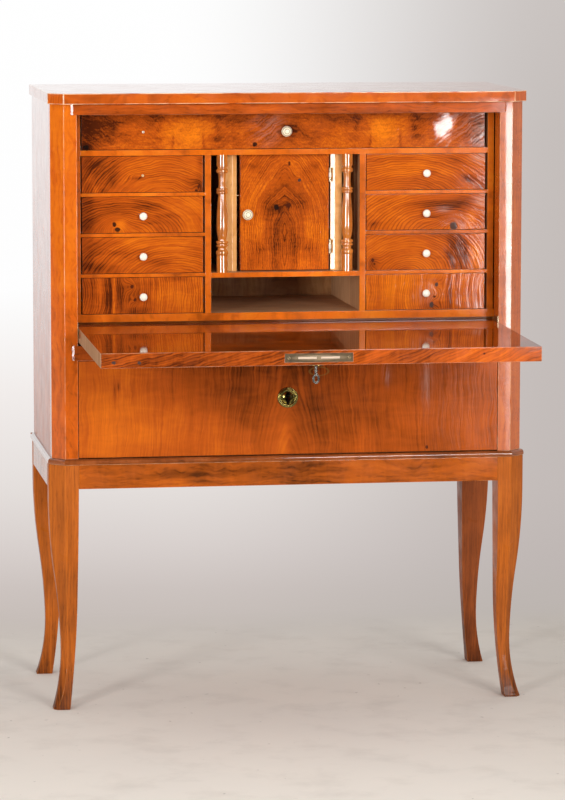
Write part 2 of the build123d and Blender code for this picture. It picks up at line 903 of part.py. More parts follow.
def cupboard_case():
    """The stiles and side walls of the cupboard, with the stiles canted to the door."""
    back_y = door_front + stile_thickness
    plan = [
        (-cupboard_outer, door_front),
        (-half_door_opening - stile_cant, door_front),
        (-half_door_opening, door_front + stile_cant),
        (-half_door_opening, back_y),
        (-cupboard_outer, back_y),
    ]
    stile = prism(plan, centre_shelf_top, shelf_bottom)
    wall = board(
        (-cupboard_outer, -cupboard_outer + cupboard_side_thickness),
        (back_y, gallery_back),
        (centre_shelf_top, shelf_bottom),
    )
    return [*both_sides(stile), *both_sides(wall)]


def turned_column():
    """A baluster column, turned in one piece, standing on the origin."""
    height = shelf_bottom - centre_shelf_top
    r = column_radius
    # Each length is a share of the height and each radius a share of the column's radius.
    turning_shares = [
        ("line", 0.143, 1.0),
        ("line", 0.002, 0.9),
        ("bead", 0.042, 0.98),
        ("hollow", 0.03, 0.85),
        ("bead", 0.018, 0.94),
        ("line", 0.006, 0.86),
        ("bead", 0.028, 0.96),
        ("line", 0.010, 0.72),
        ("swell", 0.110, 1.0),
        ("swell", 0.276, 0.66),
        ("line", 0.004, 0.86),
        ("bead", 0.024, 0.9),
        ("bead", 0.024, 0.9),
        ("line", 0.005, 0.68),
        ("hollow", 0.122, 0.7),
        ("line", 0.003, 0.9),
        ("bead", 0.032, 0.95),
        ("hollow", 0.022, 0.9),
        ("line", 0.002, 1.0),
    ]
    bead_bulge_share = 0.13
    hollow_share = 0.08
    at = (r, 0)
    outline = [Line((0, 0), at)]
    for kind, length_share, radius_share in turning_shares:
        low = at[1]
        high = low + length_share * height
        new = (radius_share * r, high)
        if kind == "line":
            if new[0] != at[0]:
                outline.append(Line(at, (new[0], low)))
            outline.append(Line((new[0], low), new))
        elif kind == "swell":
            outline.append(swell(at, new))
        else:
            bulge = bead_bulge_share if kind == "bead" else -hollow_share
            if new[0] != at[0]:
                outline.append(Line(at, (new[0], low)))
            middle = (new[0] + bulge * r, (low + high) / 2)
            outline.append(ThreePointArc((new[0], low), middle, new))
        at = new
    top = (r, height)
    outline += [Line(at, top), Line(top, (0, height)), Line((0, height), (0, 0))]
    return revolve(make_face(Curve() + outline), Axis.Y).rotate(Axis.X, 90)


def swell(low, high):
    """One side of the vase of a column: upright at its belly, wherever the belly is."""
    if high[0] > low[0]:
        return TangentArc(high, low, tangent=(0, -1))
    return TangentArc(low, high, tangent=(0, 1))


def columns():
    column_y = gallery_front + column_front_set + column_radius
    return both_sides(Pos(-column_x, column_y, centre_shelf_top) * turned_column())


# Cupboard door

door_left = -half_door_opening + door_free_gap
door_right = half_door_opening - door_hinge_gap
door_base = centre_shelf_top + door_end_gap
door_top = shelf_bottom - door_end_gap
door_axis_x = door_right + door_hinge_gap / 2
door_axis_y = door_front - door_knuckle_radius - door_knuckle_gap
door_hinge_levels = (door_base + door_hinge_bottom, door_top - door_hinge_top)


def knuckle(low, high, radius):
    return Pos(door_axis_x, door_axis_y, (low + high) / 2) * Cylinder(radius, high - low)


def door_leaf(level, x):
    """The leaf of a butt hinge, from its knuckle back along the gap beside the door."""
    half = door_hinge_height / 2
    y = (door_axis_y, door_axis_y + door_leaf_width)
    return board(x, y, (level - half, level + half))


def door_hinges():
    """The moving and the fixed halves of the two butt hinges."""
    moving, fixed = [], []
    third = door_hinge_height / 3
    for level in door_hinge_levels:
        low = level - door_hinge_height / 2
        high = level + door_hinge_height / 2
        middle = (low + third + door_knuckle_gap, high - third - door_knuckle_gap)
        gap_x = (door_right, door_right + door_leaf_thickness)
        inner = knuckle(*middle, door_knuckle_radius)
        ends = knuckle(low, low + third, door_knuckle_radius)
        ends += knuckle(high - third, high, door_knuckle_radius)
        leaf = door_leaf(level, gap_x)
        keep_out = knuckle(
            low, low + third + door_knuckle_gap, door_knuckle_radius + door_knuckle_gap
        )
        keep_out += knuckle(
            high - third - door_knuckle_gap, high, door_knuckle_radius + door_knuckle_gap
        )
        bore = knuckle(low, high, door_pin_radius + hinge_running)
        moving.append(leaf - keep_out + inner - bore)
        fixed_x = (half_door_opening - door_leaf_thickness, half_door_opening)
        ring = knuckle(
            low + third, high - third, door_knuckle_radius + door_knuckle_gap
        )
        pin = knuckle(low, high, door_pin_radius)
        fixed.append(door_leaf(level, fixed_x) - ring + ends + pin)
    return moving, fixed


def door():
    panel = board(
        (door_left, door_right), (door_front, door_front + door_thickness), (door_base, door_top)
    )
    place = Pos(door_knob_x, door_front, (door_base + door_top) / 2 - door_knob_drop)
    return {
        "door_panel": [panel],
        "door_knob": [place * knob(large_knob_radius, large_knob_length)],
        "door_hinge_leaves": door_hinges()[0],
    }


def catch_pin():
    """The small pin on the left stile that the door shuts against."""
    y = door_front + stile_cant + catch_pin_radius * 2
    z = centre_shelf_top + catch_pin_height_share * (shelf_bottom - centre_shelf_top)
    plane = Plane(origin=(-half_door_opening, y, z), z_dir=(1, 0, 0))
    return extrude(plane * Circle(catch_pin_radius), catch_pin_length)


def build():
    os.makedirs("parts", exist_ok=True)
    left_side, right_side = case_sides()
    nodes = {
        "top_board": [top_board()],
        "case_side_left": [left_side],
        "case_side_right": [right_side],
        "corner_posts": both_sides(corner_post()),
        "carcase_boards": carcase_boards(),
        "back_boards": back_boards(),
        "top_rail": top_rail(),
        "fall_rest_rail": rest_rail(),
        "aprons": aprons(),
        "stand_moulding": stand_moulding(),
        "gallery_uprights": gallery_uprights(),
        "gallery_shelves": gallery_shelves(),
        "cupboard_case": cupboard_case(),
        "columns": columns(),
        "brass_fittings": [*fall_hinge_plates(), *door_hinges()[1], catch_pin()],
        **{name: [leg] for name, leg in legs().items()},
        **small_drawers(),
        **top_drawer(),
        **lower_drawer(),
        **fall_parts(),
        **door(),
    }
    for node, shapes in nodes.items():
        write(node, *shapes)


build()
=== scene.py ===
import json
import math
import random

import bmesh
import bpy
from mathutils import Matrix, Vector

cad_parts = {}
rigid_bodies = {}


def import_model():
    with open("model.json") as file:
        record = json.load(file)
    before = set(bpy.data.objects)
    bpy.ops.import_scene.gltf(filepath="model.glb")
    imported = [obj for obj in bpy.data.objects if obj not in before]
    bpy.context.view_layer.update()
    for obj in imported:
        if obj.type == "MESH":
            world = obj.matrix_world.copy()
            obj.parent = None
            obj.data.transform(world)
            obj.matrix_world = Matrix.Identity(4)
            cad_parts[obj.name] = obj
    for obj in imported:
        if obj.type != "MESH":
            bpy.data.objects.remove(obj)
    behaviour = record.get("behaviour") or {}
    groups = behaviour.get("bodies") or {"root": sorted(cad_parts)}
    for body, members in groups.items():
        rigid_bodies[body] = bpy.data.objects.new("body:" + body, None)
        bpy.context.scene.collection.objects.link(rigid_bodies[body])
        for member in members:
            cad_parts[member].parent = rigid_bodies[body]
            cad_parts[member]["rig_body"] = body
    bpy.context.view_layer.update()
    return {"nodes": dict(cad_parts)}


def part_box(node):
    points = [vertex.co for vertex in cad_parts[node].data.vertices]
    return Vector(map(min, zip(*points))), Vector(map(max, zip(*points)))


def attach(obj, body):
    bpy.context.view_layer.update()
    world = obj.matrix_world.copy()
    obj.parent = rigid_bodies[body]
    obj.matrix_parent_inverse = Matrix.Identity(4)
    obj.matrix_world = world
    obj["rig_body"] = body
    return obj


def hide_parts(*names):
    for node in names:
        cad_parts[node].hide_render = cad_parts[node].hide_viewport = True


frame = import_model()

# A fall front secretaire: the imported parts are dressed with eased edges, figured veneers,
# polished solid wood, old brass and turned bone.


# Small helpers for node trees

def feed(tree, socket, value):
    if isinstance(value, bpy.types.NodeSocket):
        tree.links.new(value, socket)
    else:
        socket.default_value = value


def addNode(tree, kind, inputs=None, **settings):
    made = tree.nodes.new("ShaderNode" + kind)
    for key, value in settings.items():
        setattr(made, key, value)
    for key, value in (inputs or {}).items():
        feed(tree, made.inputs[key], value)
    return made


def calc(tree, operation, first, second=0.0, third=0.0, clamp=False):
    inputs = {0: first, 1: second, 2: third}
    return addNode(tree, "Math", inputs, operation=operation, use_clamp=clamp).outputs[0]


def times(tree, first, second):
    return calc(tree, "MULTIPLY", first, second)


def vectorCalc(tree, operation, first, second=(0, 0, 0), scale=1.0):
    inputs = {0: first, 1: second, 3: scale}
    made = addNode(tree, "VectorMath", inputs, operation=operation)
    return made.outputs["Value" if operation in ("LENGTH", "DOT_PRODUCT") else "Vector"]


def noiseOf(tree, vector, scale, detail=2.0, rough=0.5, twist=0.0, output=0):
    inputs = {"Vector": vector, "Scale": scale, "Detail": detail, "Roughness": rough,
              "Distortion": twist}
    return addNode(tree, "TexNoise", inputs).outputs[output]


def remap(tree, value, low, high, newLow=0.0, newHigh=1.0, smooth=False):
    inputs = {"Value": value, 1: low, 2: high, 3: newLow, 4: newHigh}
    kind = "SMOOTHSTEP" if smooth else "LINEAR"
    return addNode(tree, "MapRange", inputs, interpolation_type=kind).outputs[0]


def mixColour(tree, factor, first, second):
    inputs = {0: factor, 6: first, 7: second}
    return addNode(tree, "Mix", inputs, data_type="RGBA").outputs[2]


def emptyTree(owner):
    owner.use_nodes = True
    owner.node_tree.nodes.clear()
    return owner.node_tree


def showShader(tree, kind, shader):
    tree.links.new(shader.outputs[0], tree.nodes.new("ShaderNodeOutput" + kind).inputs[0])


def addObject(name, data):
    made = bpy.data.objects.new(name, data)
    bpy.context.scene.collection.objects.link(made)
    return made


def objectPlace(tree):
    return addNode(tree, "TexCoord").outputs["Object"]


def partsOf(tree, vector):
    return addNode(tree, "SeparateXYZ", {0: vector}).outputs


def vectorOf(tree, x, y, z=0.0):
    return addNode(tree, "CombineXYZ", {0: x, 1: y, 2: z}).outputs[0]


def ovalReach(tree, place, middle, wide, high):
    # How far a place is from the middle of an upright oval: 1 at its rim
    away = vectorCalc(tree, "SUBTRACT", place, middle)
    return vectorCalc(tree, "LENGTH", vectorCalc(tree, "MULTIPLY", away, (1 / wide, 0, 1 / high)))


def newGroup(name, inputs, outputs):
    # Inputs come with their first values, outputs with how many numbers they hold
    tree = bpy.data.node_groups.new(name, "ShaderNodeTree")
    kinds = {1: "NodeSocketFloat", 3: "NodeSocketVector", 4: "NodeSocketColor"}
    for label, start in inputs.items():
        size = 1 if isinstance(start, float) else len(start)
        made = tree.interface.new_socket(label, in_out="INPUT", socket_type=kinds[size])
        made.default_value = start
    for label, size in outputs.items():
        tree.interface.new_socket(label, in_out="OUTPUT", socket_type=kinds[size])
    return tree, tree.nodes.new("NodeGroupInput").outputs


def closeGroup(tree, **results):
    inputs = tree.nodes.new("NodeGroupOutput").inputs
    for label, socket in results.items():
        tree.links.new(socket, inputs[label])
    return tree


def useGroup(tree, group, **inputs):
    made = tree.nodes.new("ShaderNodeGroup")
    made.node_tree = group
    for key, value in inputs.items():
        feed(tree, made.inputs[key], value)
    return made.outputs


# Shader groups that several finishes share

origin = (0, 0, 0)
noColour = (0, 0, 0, 1)


def buildWander():
    # Places drift about, by Amount at most
    tree, given = newGroup(
        "wander", dict(Place=origin, Size=0.1, Amount=0.01, Seed=0.0), dict(Place=3))
    shifted = vectorCalc(tree, "ADD", given["Place"], vectorOf(tree, *[given["Seed"]] * 3))
    scale = calc(tree, "DIVIDE", 1.0, given["Size"])
    drift = noiseOf(tree, shifted, scale, output="Color")
    centred = vectorCalc(tree, "SUBTRACT", drift, (0.5, 0.5, 0.5))
    twice = times(tree, given["Amount"], 2.0)
    moved = vectorCalc(tree, "SCALE", centred, scale=twice)
    return closeGroup(tree, Place=vectorCalc(tree, "ADD", given["Place"], moved))


def buildBlot():
    # A soft oval patch: 1 at its middle, almost nothing at twice its reach
    tree, given = newGroup(
        "blot", dict(Place=origin, Spot=origin, Share=(50, 0, 50)), dict(Mask=1))
    away = vectorCalc(tree, "SUBTRACT", given["Place"], given["Spot"])
    away = vectorCalc(tree, "MULTIPLY", away, given["Share"])
    fall = times(tree, vectorCalc(tree, "DOT_PRODUCT", away, away), -1.0)
    return closeGroup(tree, Mask=calc(tree, "EXPONENT", fall))


def buildArcs():
    # Level lines round a centre; Share gives how fast they follow each other on each axis
    tree, given = newGroup(
        "arcs", dict(Place=origin, Centre=origin, Share=(1, 0, 1), Tail=1.0), dict(Field=1))
    away = vectorCalc(tree, "SUBTRACT", given["Place"], given["Centre"])
    parts = partsOf(tree, away)
    above = calc(tree, "MAXIMUM", parts["Z"], 0.0)
    below = times(tree, calc(tree, "MINIMUM", parts["Z"], 0.0), given["Tail"])
    height = calc(tree, "ADD", above, below)
    place = vectorOf(tree, parts["X"], parts["Y"], height)
    scaled = vectorCalc(tree, "MULTIPLY", place, given["Share"])
    return closeGroup(tree, Field=vectorCalc(tree, "LENGTH", scaled))


# Steps across the grain for each metre, drift from place to place, offset and detail
grainScales = dict(
    bend=(40.0, 12.0, 1.3, 2.0),
    fade=(35.0, 14.0, 3.3, 1.0),
    bands=(110.0, 6.0, 5.1, 3.0),
    lines=(270.0, 11.0, 9.7, 3.0),
    pores=(800.0, 60.0, 17.9, 1.0),
)
ringBend = 2.4      # rings that the bend shifts a ring by, at most


def buildFibre():
    # Streaks along the level lines of a field, from broad bands down to pores
    tree, given = newGroup(
        "fibre", dict(Field=0.0, Place=origin, Seed=0.0, Ring=0.004),
        dict(Rings=1, Bands=1, Lines=1, Pores=1))

    def streak(kind):
        across, along, offset, detail = grainScales[kind]
        level = vectorOf(tree, times(tree, given["Field"], across),
                         calc(tree, "ADD", given["Seed"], offset))
        slow = vectorCalc(tree, "SCALE", given["Place"], scale=along)
        return noiseOf(tree, vectorCalc(tree, "ADD", level, slow), 1.0, detail)

    turns = calc(tree, "ADD", calc(tree, "DIVIDE", given["Field"], given["Ring"]),
                 times(tree, streak("bend"), ringBend))
    wave = calc(tree, "SINE", times(tree, turns, 2 * math.pi))
    rings = times(tree, remap(tree, wave, 0.1, 1.0), remap(tree, streak("fade"), 0.25, 0.5))
    return closeGroup(tree, Rings=rings, Bands=remap(tree, streak("bands"), 0.32, 0.68),
                      Lines=remap(tree, streak("lines"), 0.36, 0.64),
                      Pores=remap(tree, streak("pores"), 0.56, 0.70))


curlShape = dict(stretch=(0.45, 0.45, 1.6), twist=1.2, cloudScale=0.22, cloudDetail=3.0)


def buildCurl():
    # Cross ripples and drifting clouds of polished figured wood
    tree, given = newGroup(
        "curl", dict(Place=origin, Size=0.02, Seed=0.0), dict(Ripple=1, Cloud=1))
    moved = vectorCalc(tree, "ADD", given["Place"], vectorOf(tree, *[given["Seed"]] * 3))
    scale = calc(tree, "DIVIDE", 1.0, given["Size"])
    stretched = vectorCalc(tree, "MULTIPLY", moved, curlShape["stretch"])
    ripple = noiseOf(tree, stretched, scale, twist=curlShape["twist"])
    broad = times(tree, scale, curlShape["cloudScale"])
    cloud = noiseOf(tree, moved, broad, curlShape["cloudDetail"])
    return closeGroup(tree, Ripple=remap(tree, ripple, 0.3, 0.7),
                      Cloud=remap(tree, cloud, 0.35, 0.68))


def buildTint():
    tree, given = newGroup(
        "tint", dict(Tone=0.5, Dark=noColour, Middle=noColour, Light=noColour), dict(Colour=4))
    low = remap(tree, given["Tone"], 0.0, 0.5)
    high = remap(tree, given["Tone"], 0.5, 1.0)
    first = mixColour(tree, low, given["Dark"], given["Middle"])
    return closeGroup(tree, Colour=mixColour(tree, high, first, given["Light"]))


# Scale and detail of the patches, and which faces look up
wearAndShadingShape = dict(edge=(38.0, 3.0), dust=(16.0, 4.0), lookingUp=(0.8, 0.98))


def buildWearAndShading():
    # Eased arrises take an edge colour: a painted highlight on polished boards, painted shade of
    # the gaps with grime on veneered fronts, and a rub elsewhere; and dust settles on faces that
    # look up
    tree, given = newGroup("wear", dict(Place=origin), dict(Edge=1, Dust=1))
    worn = addNode(tree, "Attribute", attribute_name="worn").outputs["Fac"]
    patch = remap(tree, noiseOf(tree, given["Place"], *wearAndShadingShape["edge"]), 0.3, 0.6)
    facing = addNode(tree, "TexCoord").outputs["Normal"]
    up = remap(tree, partsOf(tree, facing)["Z"], *wearAndShadingShape["lookingUp"])
    film = remap(tree, noiseOf(tree, given["Place"], *wearAndShadingShape["dust"]), 0.4, 0.75)
    return closeGroup(tree, Edge=times(tree, worn, patch), Dust=times(tree, up, film))


# Scale and detail of the smears and of the level, and how much the level shows
polishShape = dict(smears=(22.0, 3.0), level=(9.0, 1.0), bump=dict(Strength=0.25, Distance=0.0004))


def buildPolish():
    # Hand polish: a little uneven in gloss and level
    tree, given = newGroup(
        "polish", dict(Place=origin, Grain=0.5, Gloss=0.1, Depth=0.3, Wave=6.0, Swell=0.0),
        dict(Roughness=1, Normal=3))
    smear = noiseOf(tree, given["Place"], *polishShape["smears"])
    spread = remap(tree, smear, 0.3, 0.75, 0.7, 1.7)
    level = noiseOf(tree, given["Place"], *polishShape["level"])
    height = calc(tree, "ADD", times(tree, level, given["Wave"]),
                  times(tree, given["Grain"], given["Depth"]))
    height = calc(tree, "ADD", height, given["Swell"])
    bump = addNode(tree, "Bump", {**polishShape["bump"], "Height": height})
    return closeGroup(tree, Roughness=times(tree, given["Gloss"], spread),
                      Normal=bump.outputs[0])


wanderGroup = buildWander()
blotGroup = buildBlot()
arcsGroup = buildArcs()
fibreGroup = buildFibre()
curlGroup = buildCurl()
tintGroup = buildTint()
wearAndShadingGroup = buildWearAndShading()
polishGroup = buildPolish()
print("shader groups are built")


def newMaterial(name, **constants):
    material = bpy.data.materials.new(name)
    tree = emptyTree(material)
    shader = addNode(tree, "BsdfPrincipled")
    for key, value in constants.items():
        shader.inputs[key.replace("_", " ")].default_value = value
    showShader(tree, "Material", shader)
    return material, tree, shader


def colour(red, green, blue):
    # A colour as it is seen on a screen, from 0 to 255
    def linear(part):
        share = part / 255
        return share / 12.92 if share <= 0.04045 else ((share + 0.055) / 1.055) ** 2.4
    return (linear(red), linear(green), linear(blue), 1.0)


# Finishes of the wood. Places and sizes in them are in millimetres from a board's middle, or
# from the origin on a turned piece; ring and curl are in metres. Tone runs from 0 for the dark
# colour to 1 for the light one. Each spot gives its place across and up, its width and height,
# and then its strength, or a knot its colour, a hill its lift and a swell its slope.

polishedWood = dict(
    tones=((92, 36, 10), (200, 90, 22), (246, 134, 26)),
    tone=0.52, bands=0.20, lines=0.16, rings=0.08, ripple=0.12, cloud=0.20,
    ring=0.005, curl=0.02, gloss=0.14, depth=0.3, wave=5.0, edge=0.3, dust=0.06,
    rubbed=colour(245, 150, 60), coat=1.0, wander=((60, 6),),
    centre=(60, 130, 0), share=(1, 1, 0), tail=1.0, peak=0.0, folds=(),
    hills=(), blots=(), marks=(), knots=(), blooms=(), swell=(), traces=(),
    rawTones=((92, 62, 42), (176, 128, 88)), pores=0.12, burr=0.0,
    specular=0.2, shine=1.5, haze=0.04, stain=1.0, turned=False, raw=None, soot=None,
)
finishTints = dict(
    # Grey of blooms in the polish and of painted glare
    bloom=colour(190, 168, 158),
    trace=colour(128, 104, 52),
    # Painted shade for joints
    soot=colour(34, 16, 8),
    dust=colour(205, 185, 165),
)


burrSpeckle = dict(stretch=(1.6, 1, 0.8), scale=210.0, detail=3.0, rough=0.65)
raggedRim = dict(Size=0.009, Amount=0.0025, Seed=7.0)     # rims of knots and blooms
ringReflectionRim = dict(reach=(0.16, 0.06), strength=(0.0, 0.5))


def millimetres(*numbers):
    return tuple(n / 1000 for n in numbers)


def blotMask(tree, place, x, z, wide, high):
    return useGroup(tree, blotGroup, Place=place, Spot=millimetres(x, 0, z),
                    Share=(1000 / wide, 0, 1000 / high))["Mask"]


def woodField(tree, place, seed, look):
    # The field whose level lines are the grain, and the place on the leaf that the folds mirror
    folded = place
    for axis in look["folds"]:
        parts = partsOf(tree, folded)
        across = calc(tree, "ABSOLUTE", calc(tree, "SUBTRACT", parts["X"], axis / 1000))
        folded = vectorOf(tree, across, parts["Y"], parts["Z"])
    for size, amount in look["wander"]:
        folded = useGroup(tree, wanderGroup, Place=folded, Size=size / 1000, Amount=amount / 1000,
                          Seed=seed)["Place"]
    field = useGroup(tree, arcsGroup, Place=folded, Centre=millimetres(*look["centre"]),
                     Share=look["share"], Tail=look["tail"])["Field"]
    if look["peak"]:
        field = calc(tree, "MULTIPLY_ADD", partsOf(tree, folded)["X"], look["peak"], field)
    for x, z, wide, high, lift in look["hills"]:
        hill = blotMask(tree, place, x, z, wide, high)
        field = calc(tree, "MULTIPLY_ADD", hill, -lift / 1000, field)
    return field, folded


def woodTone(tree, place, folded, seed, fibre, look):
    curl = useGroup(tree, curlGroup, Place=place, Size=look["curl"], Seed=seed)
    tone = look["tone"]
    for mask, gain in ((fibre["Bands"], look["bands"]), (fibre["Lines"], look["lines"]),
                       (fibre["Rings"], -look["rings"]), (curl["Ripple"], look["ripple"]),
                       (curl["Cloud"], -look["cloud"])):
        tone = calc(tree, "ADD", calc(tree, "MULTIPLY_ADD", mask, gain, -gain / 2), tone)
    if look["burr"]:
        stretched = vectorCalc(tree, "MULTIPLY", folded, burrSpeckle["stretch"])
        speckle = noiseOf(tree, stretched, burrSpeckle["scale"], burrSpeckle["detail"],
                          burrSpeckle["rough"])
        tone = calc(tree, "MULTIPLY_ADD", remap(tree, speckle, 0.36, 0.62, 0.5, -0.5),
                    -look["burr"], tone)
    # Dark spots are streaked by the fibre, light ones are smooth
    streaks = calc(tree, "MULTIPLY_ADD", fibre["Bands"], -0.15, 1.2)
    streaks = calc(tree, "MULTIPLY_ADD", fibre["Lines"], -0.35, streaks)
    for spots, leaf in ((look["blots"], folded), (look["marks"], place)):
        for x, z, wide, high, amount in spots:
            mask = blotMask(tree, leaf, x, z, wide, high)
            if amount > 0:
                mask = times(tree, mask, streaks)
            tone = calc(tree, "MULTIPLY_ADD", mask, -amount * look["stain"], tone)
    return calc(tree, "MULTIPLY_ADD", fibre["Pores"], -look["pores"], tone, clamp=True)


def spottedWood(tree, place, fibre, tinted, look):
    # Blooms in the polish with painted glare, knots, and a painted reflection of a ring
    ragged = place
    if look["knots"] or look["blooms"]:
        ragged = useGroup(tree, wanderGroup, Place=place, **raggedRim)["Place"]
    # Grey patches: blooms in the polish, and painted glare at the right ends of the right-hand
    # fronts
    for x, z, wide, high, amount in look["blooms"]:
        mask = times(tree, blotMask(tree, ragged, x, z, wide, high), fibre["Lines"])
        tinted = mixColour(tree, times(tree, mask, amount), tinted, finishTints["bloom"])
    for x, z, wide, high, eye in look["knots"]:
        mask = remap(tree, blotMask(tree, ragged, x, z, wide, high), 0.3, 0.6)
        tinted = mixColour(tree, times(tree, mask, 0.92), tinted, eye)
    # A painted reflection of the fall's escutcheon, a thin ring
    for x, z, wide, high in look["traces"]:
        reach = ovalReach(tree, place, millimetres(x, 0, z), wide / 1000, high / 1000)
        rim = calc(tree, "ABSOLUTE", calc(tree, "SUBTRACT", reach, 1.0))
        mask = remap(tree, rim, *ringReflectionRim["reach"], *ringReflectionRim["strength"])
        tinted = mixColour(tree, mask, tinted, finishTints["trace"])
    return tinted


def woodSwell(tree, place, look):
    # Uneven places of a leaf that catch the light
    swell = 0.0
    for x, z, wide, high, tilt in look["swell"]:
        away = vectorCalc(tree, "SUBTRACT", place, millimetres(x, 0, z))
        slope = vectorCalc(tree, "DOT_PRODUCT", away, tilt)
        swell = calc(tree, "MULTIPLY_ADD", blotMask(tree, place, x, z, wide, high), slope, swell)
    return swell


def woodMaterial(name, look):
    look = {**polishedWood, **look}
    material, tree, shader = newMaterial(
        name, IOR=1.5, Coat_Weight=look["coat"], Coat_Roughness=look["haze"],
        Coat_IOR=look["shine"], Specular_IOR_Level=look["specular"])
    if look["turned"]:
        place, seed = objectPlace(tree), 3.0
    else:
        place = addNode(tree, "Attribute", attribute_name="boardPlace").outputs["Vector"]
        seed = addNode(tree, "Attribute", attribute_name="boardSeed").outputs["Fac"]
    field, folded = woodField(tree, place, seed, look)
    fibre = useGroup(tree, fibreGroup, Field=field, Place=folded, Seed=seed, Ring=look["ring"])
    tone = woodTone(tree, place, folded, seed, fibre, look)
    dark, middle, light = (colour(*screen) for screen in look["tones"])
    tinted = useGroup(tree, tintGroup, Tone=tone, Dark=dark, Middle=middle, Light=light)["Colour"]
    tinted = spottedWood(tree, place, fibre, tinted, look)
    polish = useGroup(tree, polishGroup, Place=place, Grain=fibre["Lines"], Gloss=look["gloss"],
                      Depth=look["depth"], Wave=look["wave"], Swell=woodSwell(tree, place, look))
    rough = polish["Roughness"]
    if look["raw"]:
        bare = look["raw"](tree)
        fibreTone = calc(tree, "MULTIPLY_ADD", fibre["Lines"], 0.3, 0.2)
        pale = mixColour(tree, fibreTone, *(colour(*screen) for screen in look["rawTones"]))
        tinted = mixColour(tree, bare, tinted, pale)
        rough = calc(tree, "MULTIPLY_ADD", bare, 0.45, rough)
        tree.links.new(calc(tree, "MULTIPLY_ADD", bare, -look["coat"], look["coat"]),
                       shader.inputs["Coat Weight"])
    # Painted shade in the joints by the rails and under the gallery's base
    if look["soot"]:
        tinted = mixColour(tree, look["soot"](tree), tinted, finishTints["soot"])
    wear = useGroup(tree, wearAndShadingGroup, Place=place)
    # The eased arrises take the finish's edge colour: painted highlight, painted shade with grime,
    # or wear
    edged = mixColour(tree, times(tree, wear["Edge"], look["edge"]), tinted, look["rubbed"])
    dusted = mixColour(tree, times(tree, wear["Dust"], look["dust"]), edged,
                       finishTints["dust"])
    tree.links.new(dusted, shader.inputs["Base Color"])
    tree.links.new(rough, shader.inputs["Roughness"])
    tree.links.new(polish["Normal"], shader.inputs["Normal"])
    if look["coat"]:
        tree.links.new(polish["Normal"], shader.inputs["Coat Normal"])
    return material


def fadeAlong(axis, *levels):
    def mask(tree):
        return remap(tree, partsOf(tree, objectPlace(tree))[axis], *levels)
    return mask


# Inside the gallery the boards were left unpolished
behindFronts = fadeAlong("Y", 0.0555, 0.0575)
# Painted shade in the joint between the gallery's base and the fall
underBase = fadeAlong("Z", 0.7725, 0.7717, 0.0, 0.85)
# The sides are duller towards the stand
lowerSide = fadeAlong("Z", 1.2, 0.5, 0.0, 0.5)


paintedJointShadeLevels = dict(under=(0.0016, 0.0008), over=(-0.0014, -0.0006), strength=(0.0, 0.8))


def stripEdges(node, top):
    # Painted shade in the joint under a rail, and in the one over it where it is the top one
    low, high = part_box(node)
    under = fadeAlong("Z", *(low.z + step for step in paintedJointShadeLevels["under"]), *paintedJointShadeLevels["strength"])
    over = fadeAlong("Z", *(high.z + step for step in paintedJointShadeLevels["over"]), *paintedJointShadeLevels["strength"])

    def mask(tree):
        return calc(tree, "MAXIMUM", under(tree), over(tree))
    return mask if top else under


def sawnEnds(tree):
    # The fall's sawn ends are matt and pale
    side = partsOf(tree, addNode(tree, "TexCoord").outputs["Normal"])["X"]
    return remap(tree, calc(tree, "ABSOLUTE", side), 0.9, 0.98)


# Boards with eased edges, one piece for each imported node

def solidsOf(mesh):
    # The faces of each closed solid in turn, as corner points
    solids, faces, openEdges = [], [], set()
    corners = [tuple(round(c * 1e6) / 1e6 for c in vertex.co) for vertex in mesh.vertices]
    for polygon in mesh.polygons:
        loop = [corners[i] for i in polygon.vertices]
        faces.append(loop)
        for a, b in zip(loop, loop[1:] + loop[:1]):
            openEdges ^= {(min(a, b), max(a, b))}
        if not openEdges:
            solids.append(faces)
            faces = []
    return solids


easingRules = dict(
    flatAngle=math.radians(0.3),   # faces that meet flatter than this are joined
    sharpAngle=math.radians(35),   # arrises sharper than this are eased
    shortest=5,                    # an eased arris is at least this many easings long
    segments=2,
    cornerReach=0.0005,            # a corner this near to a stated place is moved
    leastCut=0.0002,
    mostCut=0.01,
)


def joinedSolid(faces):
    solid = bmesh.new()
    known = {}
    for loop in faces:
        for corner in loop:
            if corner not in known:
                known[corner] = solid.verts.new(corner)
        if len(set(loop)) > 2:
            solid.faces.new([known[corner] for corner in loop])
    bmesh.ops.dissolve_limit(solid, angle_limit=easingRules["flatAngle"], verts=solid.verts,
                             edges=solid.edges)
    return solid


def moveCorners(solid, moves):
    for x, y, newY in moves:
        for vertex in solid.verts:
            away = max(abs(abs(vertex.co.x) - x), abs(vertex.co.y - y))
            if away < easingRules["cornerReach"]:
                vertex.co.y = newY


def cutChamfers(solid, cuts):
    for point, direction in cuts:
        over = max((v.co - Vector(point)).dot(Vector(direction)) for v in solid.verts)
        if not easingRules["leastCut"] < over < easingRules["mostCut"]:
            continue
        parts = solid.verts[:] + solid.edges[:] + solid.faces[:]
        done = bmesh.ops.bisect_plane(solid, geom=parts, plane_co=point, plane_no=direction,
                                      clear_outer=True)
        rim = [e for e in done["geom_cut"] if isinstance(e, bmesh.types.BMEdge)]
        if rim:
            bmesh.ops.holes_fill(solid, edges=rim)


def easeArrises(solid, easing):
    # Rounds the sharp arrises, and tells which faces that makes
    sharp = [e for e in solid.edges
             if e.is_manifold and e.calc_length() > easingRules["shortest"] * easing
             and e.calc_face_angle() > easingRules["sharpAngle"]]
    if not sharp:
        return set()
    made = bmesh.ops.bevel(solid, geom=sharp, offset=easing, offset_type="OFFSET",
                           segments=easingRules["segments"], profile=0.5, affect="EDGES",
                           clamp_overlap=True)
    return set(made["faces"])


